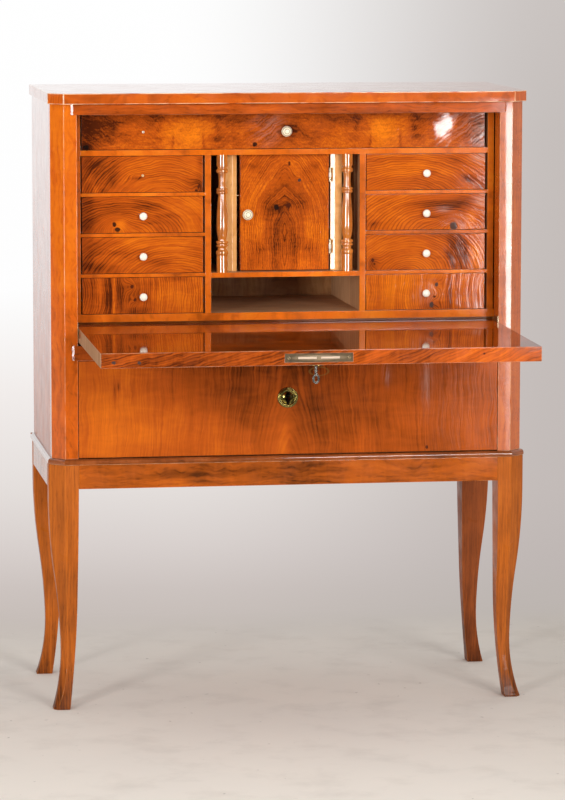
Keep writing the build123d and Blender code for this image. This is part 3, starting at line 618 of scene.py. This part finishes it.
def easedSolid(faces, easing, cuts, moves):
    solid = joinedSolid(faces)
    moveCorners(solid, moves)
    cutChamfers(solid, cuts)
    worn = easeArrises(solid, easing)
    bmesh.ops.recalc_face_normals(solid, faces=solid.faces)
    solid.verts.index_update()
    points = [tuple(v.co) for v in solid.verts]
    polygons = [[v.index for v in face.verts] for face in solid.faces]
    flags = [1.0 if face in worn else 0.0 for face in solid.faces]
    solid.free()
    return points, polygons, flags


def boardPlaces(points, grain):
    # Places from the board's middle, turned so that the grain runs along the third axis
    low = [min(p[i] for p in points) for i in range(3)]
    high = [max(p[i] for p in points) for i in range(3)]
    span = [b - a for a, b in zip(low, high)]
    along = span.index(max(span)) if grain == "long" else "xyz".index(grain)
    order = ((2, 1, 0), (0, 2, 1), (0, 1, 2))[along]
    return [p[i] - (low[i] + high[i]) / 2 for p in points for i in order]


def boardPiece(nodeName, looks, easing, grain, cuts=(), moves=(), crisp=38):
    # Each solid of the node takes the next of the looks, and the rest take the last
    source = frame["nodes"][nodeName]
    dice = random.Random(nodeName)
    points, polygons, flags, places, seeds, finishes = [], [], [], [], [], []
    for number, faces in enumerate(solidsOf(source.data)):
        newPoints, newPolygons, newFlags = easedSolid(faces, easing, cuts, moves)
        finishes += [min(number, len(looks) - 1)] * len(newPolygons)
        places += boardPlaces(newPoints, grain)
        seeds += [dice.uniform(0, 9)] * len(newPoints)
        polygons += [[len(points) + i for i in polygon] for polygon in newPolygons]
        points += newPoints
        flags += newFlags
    words = nodeName.split("_")
    mesh = bpy.data.meshes.new(words[0] + "".join(w.capitalize() for w in words[1:]))
    mesh.from_pydata(points, [], polygons)
    mesh.attributes.new("boardPlace", "FLOAT_VECTOR", "POINT").data.foreach_set("vector", places)
    mesh.attributes.new("boardSeed", "FLOAT", "POINT").data.foreach_set("value", seeds)
    mesh.attributes.new("worn", "FLOAT", "FACE").data.foreach_set("value", flags)
    mesh.shade_smooth()
    mesh.set_sharp_from_angle(angle=math.radians(crisp))
    for look in looks:
        mesh.materials.append(finish[look])
    mesh.polygons.foreach_set("material_index", finishes)
    piece = addObject(mesh.name, mesh)
    level = piece.modifiers.new("faceWeight", "WEIGHTED_NORMAL")
    level.keep_sharp = True
    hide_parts(nodeName)
    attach(piece, source["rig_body"])


# Plain woods of the case, the stand and the gallery

black = colour(30, 22, 18)
brown = colour(78, 34, 18)
grey = colour(66, 58, 54)
# Painted shade of the gaps round the veneered fronts, with grime, for their eased arrises
gapShadeAndGrime = colour(58, 26, 12)

# A pale painted highlight for the eased arrises of polished boards
paintedArrisHighlight = colour(255, 214, 170)
# Painted shade: the marks darken the legs towards the floor
legWood = dict(
    tones=((84, 40, 14), (182, 94, 28), (220, 130, 42)),
    tone=0.44, bands=0.14, lines=0.14, cloud=0.12, ripple=0.0, coat=0.08, edge=0.1,
    share=(1, 0.12, 0), wander=((90, 3),), specular=0.1, gloss=0.36,
    marks=((0, -250, 200, 80, 0.34), (0, -60, 60, 90, 0.10)),
)
woods = dict(
    top=dict(tone=0.48, bands=0.16, cloud=0.08, ripple=0.04, dust=0.10, coat=0.85, edge=0.8,
             rubbed=paintedArrisHighlight),
    side=dict(tone=0.42, centre=(40, 60, 0), raw=lowerSide,
              rawTones=((130, 62, 24), (196, 108, 52))),
    # Painted shade: the left post's mark darkens its lower part, below the fall
    post=dict(tones=((92, 36, 10), (206, 94, 20), (246, 136, 26)),
              tone=0.60, bands=0.12, lines=0.12, cloud=0.10, ripple=0.06, edge=0.25, rubbed=paintedArrisHighlight,
              specular=0.06, gloss=0.2, wave=2.0, marks=((0, -250, 60, 170, 0.2),)),
    glaringPost=dict(tones=((92, 36, 10), (196, 92, 24), (236, 132, 36)),
                     tone=0.48, bands=0.14, lines=0.12, cloud=0.14, ripple=0.10, edge=0.5,
                     rubbed=paintedArrisHighlight, gloss=0.26, wave=0.0, depth=0.05, specular=0.6),
    rail=dict(tone=0.38, bands=0.16, cloud=0.10, ripple=0.04, coat=0.8, rubbed=paintedArrisHighlight,
              marks=((0, 0, 30, 240, 0.09),), soot=stripEdges("top_rail", True)),
    restRail=dict(tone=0.36, bands=0.22, cloud=0.25, ripple=0.16, edge=0.5, rubbed=paintedArrisHighlight,
                  soot=stripEdges("fall_rest_rail", False)),
    moulding=dict(tones=((70, 34, 14), (150, 78, 34), (204, 124, 70)),
                  tone=0.40, bands=0.3, cloud=0.25, edge=0.4, rubbed=paintedArrisHighlight),
    apron=dict(tones=((88, 42, 12), (184, 90, 25), (228, 128, 32)),
               tone=0.40, bands=0.18, ripple=0.08, coat=0.5, curl=0.026, wander=((70, 5), (22, 1)),
               marks=((4, -200, 16, 34, 0.22), (-8, -184, 12, 18, 0.2), (6, -250, 12, 26, 0.14),
                      (0, 252, 14, 24, 0.2), (0, 20, 30, 130, 0.16), (0, 400, 30, 90, -0.14))),
    leg=legWood,
    # Painted shade: the back right leg is a darker copy of the leg wood
    shadedLeg=dict(legWood, tones=((64, 28, 10), (144, 72, 30), (190, 104, 44)), tone=0.40,
                   cloud=0.2, marks=((0, -250, 200, 80, 0.2),)),
    inner=dict(tones=((96, 58, 34), (158, 104, 60), (198, 144, 92)), gloss=0.5, coat=0.0,
               rubbed=colour(205, 165, 120)),
    gallery=dict(tones=((120, 48, 10), (218, 104, 18), (250, 146, 34)),
                 tone=0.46, bands=0.24, cloud=0.24, ripple=0.06, coat=0.5, centre=(18, 60, 0),
                 raw=behindFronts, rawTones=((150, 100, 66), (244, 192, 142)), soot=underBase),
    cupboard=dict(tones=((160, 92, 38), (228, 162, 92), (250, 200, 136)),
                  tone=0.5, cloud=0.08, centre=(18, 60, 0), gloss=0.18, edge=0.6, rubbed=paintedArrisHighlight),
    fall=dict(tone=0.20, lines=0.14, cloud=0.22, ripple=0.14, gloss=0.2, specular=0.0, wave=0.8,
              depth=0.05, centre=(50, 160, 0), wander=((120, 14), (30, 2)), dust=0.0, pores=0.0,
              raw=sawnEnds, rawTones=((140, 96, 66), (216, 172, 136))),
    lipping=dict(tone=0.21, lines=0.19, cloud=0.16, ripple=0.10, coat=0.5, ring=0.004,
                 rings=0.12, centre=(300, 0, -1100), share=(1, 1, 0.3), wander=((60, 7), (20, 2)),
                 raw=sawnEnds, rawTones=((140, 92, 60), (212, 160, 118)),
                 marks=((2, 330, 30, 110, -0.2), (0, -300, 30, 120, 0.1)), rubbed=paintedArrisHighlight,
                 knots=((-4, -398, 3, 4, grey), (-4, -350, 3.4, 4, grey), (3, 310, 2.5, 3, brown))),
    column=dict(tones=((124, 56, 16), (222, 130, 46), (248, 172, 82)),
                turned=True, tone=0.42, bands=0.3, cloud=0.1, ripple=0.0, gloss=0.12,
                wave=0.0, centre=(0, 220, 0), shine=2.5, haze=0.13),
)

# Figured veneers: each leaf has its own rings, knots and stains
figured = dict(
    tones=((84, 34, 12), (190, 85, 20), (244, 132, 22)),
    tone=0.45, bands=0.14, lines=0.14, rings=0.26, ring=0.0043, cloud=0.18,
    # The fronts' eased arrises are painted dark: shade of the gaps, with grime
    stain=0.8, specular=0.03, haze=0.03, coat=0.7, wave=1.0, edge=0.85, rubbed=gapShadeAndGrime,
    wander=((45, 5), (14, 1.4), (5, 0.6)),
)
leaves = dict(
    left_drawer_1=dict(
        centre=(40, 0, -72), share=(0.8, 0, 1),
        hills=((-16, -3, 14, 5, 6), (112, -24, 12, 14, 14)),
        marks=((-90, 0, 36, 60, 0.5), (-56, -6, 10, 60, 0.22), (114, -20, 12, 20, 0.4),
               (118, 26, 8, 14, 0.35), (-104, -8, 8, 12, -0.3), (-95, -30, 6, 12, -0.25),
               (-10, -8, 12, 3, 0.25)),
        knots=((113, -24, 3.2, 4.5, brown), (107, -33, 3, 2.4, black))),
    left_drawer_2=dict(
        centre=(-38, 0, -46), share=(0.55, 0, 1),
        hills=((-54, -25, 22, 19, 22),),
        marks=((-112, 0, 26, 60, 0.5), (-66, 14, 30, 13, 0.28), (2, 15, 44, 9, 0.36),
               (44, -2, 26, 5, 0.25), (14, -16, 30, 3, 0.2), (-43, -22, 12, 15, -0.3),
               (70, 20, 40, 14, -0.12)),
        knots=((-57, -19, 4.2, 5, black), (-51, -29, 6, 5, black))),
    left_drawer_3=dict(
        centre=(64, 0, -64), share=(0.62, 0, 1),
        marks=((-106, 26, 40, 12, 0.3), (-86, -26, 40, 12, 0.4), (-52, 4, 40, 8, 0.25),
               (36, -14, 24, 7, 0.3), (-110, -2, 22, 30, 0.25), (70, 18, 50, 12, -0.08))),
    left_drawer_4=dict(
        centre=(-170, 0, 6), share=(1, 0, 0.75),
        hills=((-22, 18, 13, 12, 16), (-16, -9, 9, 9, 10)),
        marks=((-68, 0, 10, 60, 0.5), (-46, 0, 8, 60, 0.3), (-112, 12, 22, 26, 0.25),
               (-20, 8, 24, 26, 0.32), (70, 33, 22, 6, 0.35), (-12, -33, 20, 8, 0.5),
               (-58, -4, 3, 60, -0.5), (52, -6, 26, 30, -0.2), (20, 22, 18, 12, 0.2)),
        knots=((-22, 18, 4.2, 3.6, brown), (-16, -9, 3.4, 4, brown))),
    right_drawer_1=dict(
        centre=(-46, 0, -70), share=(0.55, 0, 1),
        marks=((92, -16, 34, 12, 0.42), (58, 22, 26, 10, 0.25), (114, -32, 16, 8, 0.4),
               (-50, 6, 60, 16, -0.1)),
        blooms=((112, 30, 16, 9, 0.5),)),
    right_drawer_2=dict(
        centre=(34, 0, -48), share=(0.52, 0, 1),
        hills=((57, -27, 22, 18, 24),),
        marks=((58, 10, 36, 12, 0.45), (16, 16, 34, 8, 0.28), (12, -10, 34, 4, 0.3),
               (86, 26, 22, 12, 0.35), (-108, -22, 12, 8, 0.25), (94, -16, 10, 18, -0.3)),
        knots=((57, -29, 8, 10, grey),),
        blooms=((112, 24, 14, 14, 0.45), (36, 4, 14, 6, 0.4))),
    right_drawer_3=dict(
        centre=(-36, 0, -52), share=(0.8, 0, 1),
        hills=((-108, -20, 12, 14, 16),),
        marks=((52, 4, 12, 60, 0.42), (72, 4, 12, 60, 0.5), (84, -10, 6, 30, 0.35),
               (-108, -22, 10, 14, 0.4), (104, 4, 14, 30, -0.25), (30, -12, 20, 5, 0.2)),
        knots=((-108, -16, 3.5, 4.5, brown),)),
    right_drawer_4=dict(
        tone=0.52, centre=(170, 0, -8), share=(1, 0, 0.75),
        hills=((22, 14, 11, 10, 12), (15, -22, 12, 12, 14)),
        marks=((50, 0, 7, 60, 0.45), (66, 4, 7, 60, 0.4), (24, 22, 24, 12, 0.2),
               (16, -30, 20, 8, 0.45), (58, 0, 3, 60, -0.4), (96, -6, 20, 26, 0.12),
               (-60, 0, 50, 40, -0.1)),
        knots=((23, 14, 4, 4, grey), (18, -10, 3, 3, brown), (13, -27, 4.6, 6, grey)),
        blooms=((0, -4, 18, 18, 0.35), (-26, -10, 5, 6, 0.3), (112, -30, 18, 8, 0.4))),
    top_drawer=dict(
        folds=(5, 199), centre=(520, 0, -480), tone=0.46, bands=0.06, rings=0.05, lines=0.07,
        burr=0.16, wander=((60, 12), (20, 5), (6, 1.6)), ripple=0.28, cloud=0.24, share=(1, 0, 1),
        curl=0.010, stain=1.2, shine=1.8,
        blots=((64, 27, 18, 9, 0.26), (60, 8, 8, 12, 0.2), (68, -14, 13, 8, 0.2),
               (30, -20, 2.4, 15, 0.3), (20, 33, 60, 6, 0.14), (0, -5, 44, 34, -0.3),
               (110, 20, 40, 10, 0.14), (150, -8, 34, 9, 0.1)),
        marks=((-398, 6, 34, 50, 0.36), (-360, 18, 40, 16, 0.2), (-352, -16, 26, 10, 0.14),
               (-398, -30, 10, 7, 0.6), (12, 2, 26, 20, 0.3), (398, 0, 30, 40, 0.2)),
        knots=((-60, -26, 5, 5, black), (-398, -30, 7, 5, black)),
        blooms=((-38, 4, 26, 30, 0.25), (360, 6, 44, 34, 0.3), (400, 0, 16, 40, 0.4),
                (-20, 20, 20, 12, 0.2)),
        swell=((322, 8, 34, 22, (-430, 0, 60)),)),
    door_panel=dict(
        folds=(0,), centre=(0, 0, -30), share=(0.75, 0, 0.7), tail=0.2, peak=0.55,
        hills=((-17, 11, 13, 12, 9), (8, 16, 12, 11, 8), (30, 65, 7, 8, 7), (9, 98, 6, 9, 5)),
        tone=0.44, curl=0.012, burr=0.14, stain=1.0,
        bands=0.16, lines=0.2, rings=0.2, ring=0.005, wander=((45, 6), (14, 2.6), (5, 1.2)),
        blots=((0, 36, 20, 30, 0.22), (8, -62, 20, 66, 0.34), (34, 0, 12, 40, 0.2),
               (62, 92, 20, 10, 0.16), (54, -34, 16, 40, -0.16), (78, -50, 18, 60, -0.1),
               (52, -72, 12, 20, 0.22), (40, 80, 30, 20, 0.08)),
        marks=((-16, 4, 16, 10, 0.24), (10, 18, 12, 8, 0.12), (-6, 26, 20, 6, -0.12)),
        knots=((-17, 11, 6, 6.6, black), (8, 15, 6, 5.4, brown), (30, 65, 3, 3.4, grey),
               (9, 98, 3, 5, brown))),
    lower_drawer=dict(
        tones=((84, 38, 12), (182, 84, 24), (232, 122, 28)),
        folds=(0,), centre=(0, 0, -330), share=(1, 0, 0.2), peak=0.3, tone=0.40,
        wander=((150, 16), (40, 4), (10, 0.8)), ripple=0.10, cloud=0.22, curl=0.03, ring=0.009,
        # The ring is a painted reflection of the fall's escutcheon
        rings=0.06, bands=0.12, lines=0.12, pores=0.04, traces=((59, 69, 19, 8.5),),
        # Among the wood's marks, painted shadow of the open fall darkens the top of the front and
        # its middle
        marks=((-120, 84, 130, 16, 0.2), (70, 84, 190, 24, 0.2), (150, 0, 70, 80, 0.2),
               (-95, -10, 40, 60, 0.18), (-240, -40, 60, 80, -0.12), (-12, -76, 13, 50, -0.3),
               (-360, 0, 90, 120, -0.28), (45, -20, 26, 60, 0.2), (250, -30, 40, 60, -0.06),
               (0, 50, 90, 60, 0.32),
               (-350, 26, 3, 26, 0.6), (-344, 44, 2.5, 10, 0.5), (-322, 28, 10, 14, 0.2)),
        knots=((279, -88, 3.4, 3.8, brown),),
        blooms=((278, 44, 9, 40, 0.5), (196, 58, 7, 16, 0.5), (340, 10, 50, 100, 0.06)),
        edge=0.3),
)
finish = {name: woodMaterial(name.replace("_", "") + "Leaf", {**figured, **look})
          for name, look in leaves.items()}
for name, look in woods.items():
    finish[name] = woodMaterial(name + "Wood", look)

# Node, slot, finish, width of the eased arris in metres, and where the grain runs
caseBoards = [
    ("top_board", "case_wood", "top", 0.0016, "x"),
    ("case_side_left", "case_wood", "side", 0.001, "z"),
    ("case_side_right", "case_wood", "side", 0.001, "z"),
    ("aprons", "case_wood", "apron", 0.001, "long"),
    ("stand_moulding", "case_wood", "moulding", 0.001, "long"),
    ("front_left_leg", "case_wood", "leg", 0.0015, "z"),
    ("front_right_leg", "case_wood", "leg", 0.0015, "z"),
    ("back_left_leg", "case_wood", "leg", 0.0015, "z"),
    ("back_right_leg", "case_wood", "shadedLeg", 0.0015, "z"),
    ("carcase_boards", "inner_wood", "inner", 0.0006, "long"),
    ("back_boards", "inner_wood", "inner", 0.0008, "z"),
    ("gallery_uprights", "gallery_wood", "gallery", 0.0006, "z"),
    ("gallery_shelves", "gallery_wood", "gallery", 0.0006, "x"),
    ("door_panel", "veneer", "door_panel", 0.0008, "z"),
    ("lower_drawer_front", "veneer", "lower_drawer", 0.0008, "z"),
    ("top_drawer_front", "veneer", "top_drawer", 0.0008, "z"),
    ("lower_drawer_box", "inner_wood", "inner", 0.0008, "long"),
    ("top_drawer_box", "inner_wood", "inner", 0.0006, "long"),
]
for side in ("left", "right"):
    for row in range(1, 5):
        name = f"{side}_drawer_{row}"
        caseBoards.append((name + "_front", "veneer", name, 0.0008, "z"))
        caseBoards.append((name + "_box", "inner_wood", "inner", 0.0005, "long"))
for nodeName, slotName, look, easing, grain in caseBoards:
    boardPiece(nodeName, [look], easing, grain)
boardPiece("corner_posts", ["post", "glaringPost"], 0.001, "z")
# The planted strips have a small chamfer at their left end
stripEnd = dict(length=0.0045, slope=(-0.33, -0.944, 0))
for nodeName, look in (("top_rail", "rail"), ("fall_rest_rail", "restRail")):
    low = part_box(nodeName)[0]
    boardPiece(nodeName, [look], 0.0006, "x",
               [((low.x + stripEnd["length"], low.y, 0), stripEnd["slope"])], crisp=15)
boardPiece("fall_panel", ["fall", "lipping"], 0.0009, "x")
# The stiles beside the cupboard door are a little less chamfered than they were packed
stile = dict(inner=0.095, chamferBack=0.0853, newBack=0.0802)
boardPiece("cupboard_case", ["cupboard"], 0.0006, "z",
           moves=[(stile["inner"], stile["chamferBack"], stile["newBack"])], crisp=15)
print("boards are eased and laid")


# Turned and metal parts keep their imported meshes

staining = dict(detail=4.0, reach=(0.35, 0.7), darkest=0.45, gloss=(0.8, 1.5))


def plainMaterial(name, tint, roughness, metal, stain=0.3, grainSize=0.006, refraction=1.5):
    material, tree, shader = newMaterial(name, Metallic=metal, IOR=refraction)
    cloud = noiseOf(tree, objectPlace(tree), 1 / grainSize, staining["detail"])
    spot = remap(tree, cloud, *staining["reach"])
    base = colour(*tint)
    darker = [c * staining["darkest"] for c in base[:3]] + [1.0]
    tree.links.new(mixColour(tree, times(tree, spot, stain), base, darker),
                   shader.inputs["Base Color"])
    spread = [roughness * share for share in staining["gloss"]]
    tree.links.new(remap(tree, spot, 0.0, 1.0, *spread), shader.inputs["Roughness"])
    return material


def layOver(material, mask, tint):
    # Lays a colour over what a material already shows
    tree = material.node_tree
    base = tree.nodes["Principled BSDF"].inputs["Base Color"]
    worked = base.links[0].from_socket
    tree.links.new(mixColour(tree, mask(tree), worked, colour(*tint)), base)


# Name, colour, roughness, share of metal, strength of the stains and their size in metres
packedLooks = dict(
    brass_fittings=("hingeBrass", (206, 194, 166), 0.3, 1.0),
    fall_hinge_arms=("hingeArmBrass", (176, 156, 112), 0.3, 1.0),
    door_hinge_leaves=("doorHingeMetal", (240, 236, 224), 0.35, 0.15, 0.15),
    fall_escutcheon=("fallEscutcheonBrass", (156, 140, 78), 0.2, 1.0, 0.15, 0.012),
    lower_drawer_escutcheon=("drawerEscutcheonBrass", (156, 140, 78), 0.2, 1.0, 0.15, 0.012),
    fall_lock=("lockPlateBrass", (104, 84, 56), 0.42, 0.4, 0.7, 0.012),
    fall_lock_bolt=("boltMetal", (222, 196, 172), 0.35, 0.3, 0.12, 0.02),
    fall_key=("keySteel", (158, 152, 142), 0.22, 1.0, 0.5),
    lower_drawer_bolt=("drawerBoltSteel", (158, 152, 142), 0.3, 1.0),
    lower_drawer_lock=("drawerLockSteel", (120, 112, 100), 0.4, 1.0),
    left_drawer_1_peg=("pegWood", (226, 190, 130), 0.5, 0.0),
)
packedFinish = {nodeName: plainMaterial(*look) for nodeName, look in packedLooks.items()}
packedFinish["columns"] = finish["column"]
bone = plainMaterial("turnedBone", (254, 248, 228), 0.16, 0.0, 0.06, refraction=1.54)

# Painted shade, almost black, where the key goes in
keyholeShade = dict(middle=(-0.004, 0, 0.6215), wide=0.006, high=0.0125, tint=(22, 18, 12))
# The lock plate is rubbed bright round the tongues
rubbedPlate = dict(middle=(-0.008, 0, 0.7477), wide=0.046, high=0.0048, tint=(176, 152, 122))


def ovalMask(oval, *levels):
    def mask(tree):
        reach = ovalReach(tree, objectPlace(tree), oval["middle"], oval["wide"], oval["high"])
        return remap(tree, reach, *levels)
    return mask


layOver(packedFinish["lower_drawer_escutcheon"], ovalMask(keyholeShade, 1.15, 0.8), keyholeShade["tint"])
layOver(packedFinish["fall_lock"], ovalMask(rubbedPlate, 1.25, 0.7, 0.0, 0.6), rubbedPlate["tint"])

# The two larger knobs show their turning marks
turning = dict(step=0.0038, clearMiddle=(0.002, 0.004), strength=0.75, tint=(128, 96, 60))
ringedKnobs = dict(door_knob=("doorKnobBone", (-0.075, 0, 0.9824)),
                   top_drawer_knob=("drawerKnobBone", (0, 0, 1.1498)))


def turningMarks(centre):
    def mask(tree):
        reach = ovalReach(tree, objectPlace(tree), centre, 1, 1)
        wave = calc(tree, "SINE", times(tree, reach, 2 * math.pi / turning["step"]))
        lines = times(tree, remap(tree, wave, 0.3, 0.9),
                      remap(tree, reach, *turning["clearMiddle"]))
        return times(tree, lines, turning["strength"])
    return mask


for nodeName, (name, centre) in ringedKnobs.items():
    packedFinish[nodeName] = plainMaterial(name, (253, 242, 210), 0.18, 0.0, 0.12, refraction=1.54)
    layOver(packedFinish[nodeName], turningMarks(centre), turning["tint"])
for nodeName, node in frame["nodes"].items():
    if not node.hide_render:
        node.data.materials[0] = packedFinish.get(nodeName, bone)


screwHead = dict(radius=0.0029, halfSlot=12, steps=8, proud=0.0006, sunk=0.0008)
screwBrass = plainMaterial("screwBrass", (170, 146, 112), 0.3, 0.8, 0.4)


def slottedScrew(name, x, z, turn):
    # Two half heads with the slot between them, set into the lock plate
    head = bmesh.new()
    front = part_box("fall_lock")[0].y
    half = 90 - screwHead["halfSlot"]
    for side in (0, math.pi):
        rim = []
        for step in range(screwHead["steps"] + 1):
            angle = side + turn + math.radians(half * (2 * step / screwHead["steps"] - 1))
            rim.append((x + screwHead["radius"] * math.cos(angle),
                        z + screwHead["radius"] * math.sin(angle)))
        near = [head.verts.new((a, front - screwHead["proud"], b)) for a, b in rim]
        deep = [head.verts.new((a, front + screwHead["sunk"], b)) for a, b in rim]
        head.faces.new(near)
        head.faces.new(deep[::-1])
        for i in range(len(rim)):
            j = (i + 1) % len(rim)
            head.faces.new((near[j], near[i], deep[i], deep[j]))
    bmesh.ops.recalc_face_normals(head, faces=head.faces)
    mesh = bpy.data.meshes.new(name)
    head.to_mesh(mesh)
    head.free()
    mesh.materials.append(screwBrass)
    screw = addObject(name, mesh)
    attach(screw, "fall")


slottedScrew("leftLockScrew", -0.0655, 0.7475, 0.5)
slottedScrew("rightLockScrew", 0.0495, 0.7475, -0.6)
print("metal, bone and turned parts have their finishes")


# Studio

studio = dict(
    floorHalf=90.0,
    floorColour=colour(247, 238, 227),
    floorShade=colour(230, 224, 217),
    rightShade=colour(178, 166, 152),
    speck=colour(166, 154, 142),
    crumb=colour(132, 118, 106),
    mirroredFront=colour(44, 40, 36),
    plainBehind=colour(222, 217, 213),
    worldLevel=0.62,
    frontGlow=0.05,
    sweepFrom=(-1.2, -7.7, 0),
    sweepReach=8.6,
    sweepTurn=(math.radians(6.9), math.radians(13.0)),
    horizon=(0.62, 1.05),
)
# Scale, detail and roughness of the noise behind each mark on the floor
floorMarks = dict(smudge=(1.8, 5.0, 0.6), speck=(8.0, 5.0, 0.6), crumb=(55.0, 1.0))
# Colours of the sweep from its far end to the floor, on the left and on the right
leftSweep = [(0.0, (255, 255, 255)), (0.52, (254, 254, 254)), (0.66, (242, 237, 235)),
             (0.80, (228, 222, 219)), (0.88, (216, 208, 205)), (0.94, (204, 195, 191)),
             (1.0, (196, 187, 181))]
rightSweep = [(0.0, (204, 198, 195)), (0.3, (197, 190, 187)), (0.8, (195, 187, 184)),
              (0.9, (191, 183, 180)), (1.0, (187, 180, 174))]
# The high lamp only lights; the others also show in the polish
softboxes = dict(
    rightSoftbox=dict(place=(2.345, -6.1, 0.47), aim=(0.1, 0, 0.47), size=(1.2, 0.84), power=52),
    rightGlow=dict(place=(1.33, -3.4, 0.24), aim=(0.4, 0, 0.24), size=(0.34, 0.44), power=1.2),
    leftSoftbox=dict(place=(-2.97, -3.9, 1.3), aim=(0, 0, 0.8), size=(0.62, 2.2), power=78),
    highSoftbox=dict(place=(1.7, -5.4, 2.3), aim=(0, 0, 0.8), size=(1.6, 1.2), power=118),
)
# A narrow beam reaches into the pigeonhole from the left
nicheSpot = dict(place=(-2.5, -4.3, 1.2), aim=(0.06, 0.1, 0.825), power=500, spread=2.2,
                 radius=0.05)
cameraView = dict(place=(-1.19657, -7.67488, 1.58310), turn=(1.44690, -0.00108, -0.15273),
                  lens=176.32, sensor=36.0, sight=200.0)


def hangLamp(name, kind, look):
    light = bpy.data.lights.new(name, kind)
    light.energy = look["power"]
    lamp = addObject(name, light)
    lamp.location = look["place"]
    away = Vector(look["aim"]) - Vector(look["place"])
    lamp.rotation_euler = away.to_track_quat("-Z", "Y").to_euler()
    return light


def buildLamps():
    for name, look in softboxes.items():
        light = hangLamp(name, "AREA", look)
        light.shape = "RECTANGLE"
        light.size, light.size_y = look["size"]
    spot = hangLamp("nicheSpot", "SPOT", nicheSpot)
    spot.spot_size = math.radians(nicheSpot["spread"])
    spot.spot_blend = 1.0
    spot.shadow_soft_size = nicheSpot["radius"]


def sweepRamp(tree, share, stops):
    ramp = addNode(tree, "ValToRGB", {0: share})
    elements = ramp.color_ramp.elements
    while len(elements) < len(stops):
        elements.new(0.5)
    for element, (at, tint) in zip(elements, stops):
        element.position = at
        element.color = colour(*tint)
    return ramp.outputs[0]


def sweepColour(tree, away, nearness):
    # Almost white on the left, soft grey on the right, darker towards the floor
    parts = partsOf(tree, away)
    turn = calc(tree, "ARCTAN2", parts["X"], parts["Y"])
    side = remap(tree, turn, *studio["sweepTurn"], smooth=True)
    return mixColour(tree, side, sweepRamp(tree, nearness, leftSweep),
                     sweepRamp(tree, nearness, rightSweep))


def floorTint(tree, place, parts):
    # Painted shade: the floor is darker towards the back and on the right; smudges, specks and
    # crumbs are marks on it
    smudge = remap(tree, noiseOf(tree, place, *floorMarks["smudge"]), 0.35, 0.7)
    depth = remap(tree, parts["Y"], -0.6, 0.9)
    shade = calc(tree, "MULTIPLY_ADD", smudge, 0.35, times(tree, depth, 0.6), clamp=True)
    tint = mixColour(tree, shade, studio["floorColour"], studio["floorShade"])
    right = remap(tree, parts["X"], 0.1, 1.3, 0.0, 0.58, smooth=True)
    tint = mixColour(tree, right, tint, studio["rightShade"])
    speck = remap(tree, noiseOf(tree, place, *floorMarks["speck"]), 0.50, 0.72)
    tint = mixColour(tree, times(tree, speck, 0.16), tint, studio["speck"])
    crumb = noiseOf(tree, vectorCalc(tree, "MULTIPLY", place, (1, 0.7, 1)), *floorMarks["crumb"])
    crumb = remap(tree, crumb, 0.75, 0.82, 0.0, 0.45)
    return mixColour(tree, crumb, tint, studio["crumb"])


def buildFloor():
    mesh = bpy.data.meshes.new("studioFloor")
    half = studio["floorHalf"]
    mesh.from_pydata([(-half, -half, 0), (half, -half, 0), (half, half, 0), (-half, half, 0)], [],
                     [(0, 1, 2, 3)])
    floor = addObject("studioFloor", mesh)
    material = bpy.data.materials.new("studioFloor")
    tree = emptyTree(material)
    place = objectPlace(tree)
    parts = partsOf(tree, place)
    # Polish mirrors a darker floor in front of the desk
    rays = addNode(tree, "LightPath").outputs
    front = times(tree, remap(tree, parts["Y"], -0.45, -1.0), rays["Is Glossy Ray"])
    tint = mixColour(tree, front, floorTint(tree, place, parts), studio["mirroredFront"])
    near = addNode(tree, "BsdfDiffuse", {"Color": tint})
    # Far back the floor turns into the sweep
    away = vectorCalc(tree, "SUBTRACT", place, studio["sweepFrom"])
    reach = vectorCalc(tree, "LENGTH", vectorCalc(tree, "MULTIPLY", away, (1, 1, 0)))
    nearness = calc(tree, "DIVIDE", studio["sweepReach"], reach)
    far = addNode(tree, "Emission", {"Color": sweepColour(tree, away, nearness)})
    back = remap(tree, parts["Y"], *studio["horizon"], smooth=True)
    seen = calc(tree, "MAXIMUM", rays["Is Camera Ray"], rays["Is Glossy Ray"])
    seen = calc(tree, "MAXIMUM", seen, rays["Is Transmission Ray"])
    blend = addNode(tree, "MixShader", {0: times(tree, back, seen), 1: near.outputs[0],
                                        2: far.outputs[0]})
    showShader(tree, "Material", blend)
    mesh.materials.append(material)


def buildWorld():
    world = bpy.data.worlds.new("studio")
    bpy.context.scene.world = world
    tree = emptyTree(world)
    place = addNode(tree, "TexCoord").outputs["Generated"]
    behind = remap(tree, partsOf(tree, place)["Y"], -0.3, 0.5, smooth=True)
    glow = mixColour(tree, behind, [studio["frontGlow"]] * 3 + [1.0],
                     sweepColour(tree, place, 0.0))
    soft = addNode(tree, "Background", {"Color": (1, 1, 1, 1), "Strength": studio["worldLevel"]})
    seen = addNode(tree, "Background", {"Color": glow})
    plain = addNode(tree, "Background", {"Color": studio["plainBehind"]})
    rays = addNode(tree, "LightPath").outputs
    mirrored = calc(tree, "MAXIMUM", rays["Is Glossy Ray"], rays["Is Transmission Ray"])
    first = addNode(tree, "MixShader", {0: mirrored, 1: soft.outputs[0], 2: seen.outputs[0]})
    second = addNode(tree, "MixShader", {0: rays["Is Camera Ray"], 1: first.outputs[0],
                                         2: plain.outputs[0]})
    showShader(tree, "World", second)


def buildCamera():
    data = bpy.data.cameras.new("camera")
    data.lens = cameraView["lens"]
    data.sensor_width = cameraView["sensor"]
    data.clip_end = cameraView["sight"]
    camera = addObject("camera", data)
    camera.location = cameraView["place"]
    camera.rotation_euler = cameraView["turn"]
    bpy.context.scene.camera = camera


buildFloor()
buildWorld()
buildCamera()
buildLamps()
bpy.context.scene.view_settings.view_transform = "Standard"
print("studio is set")
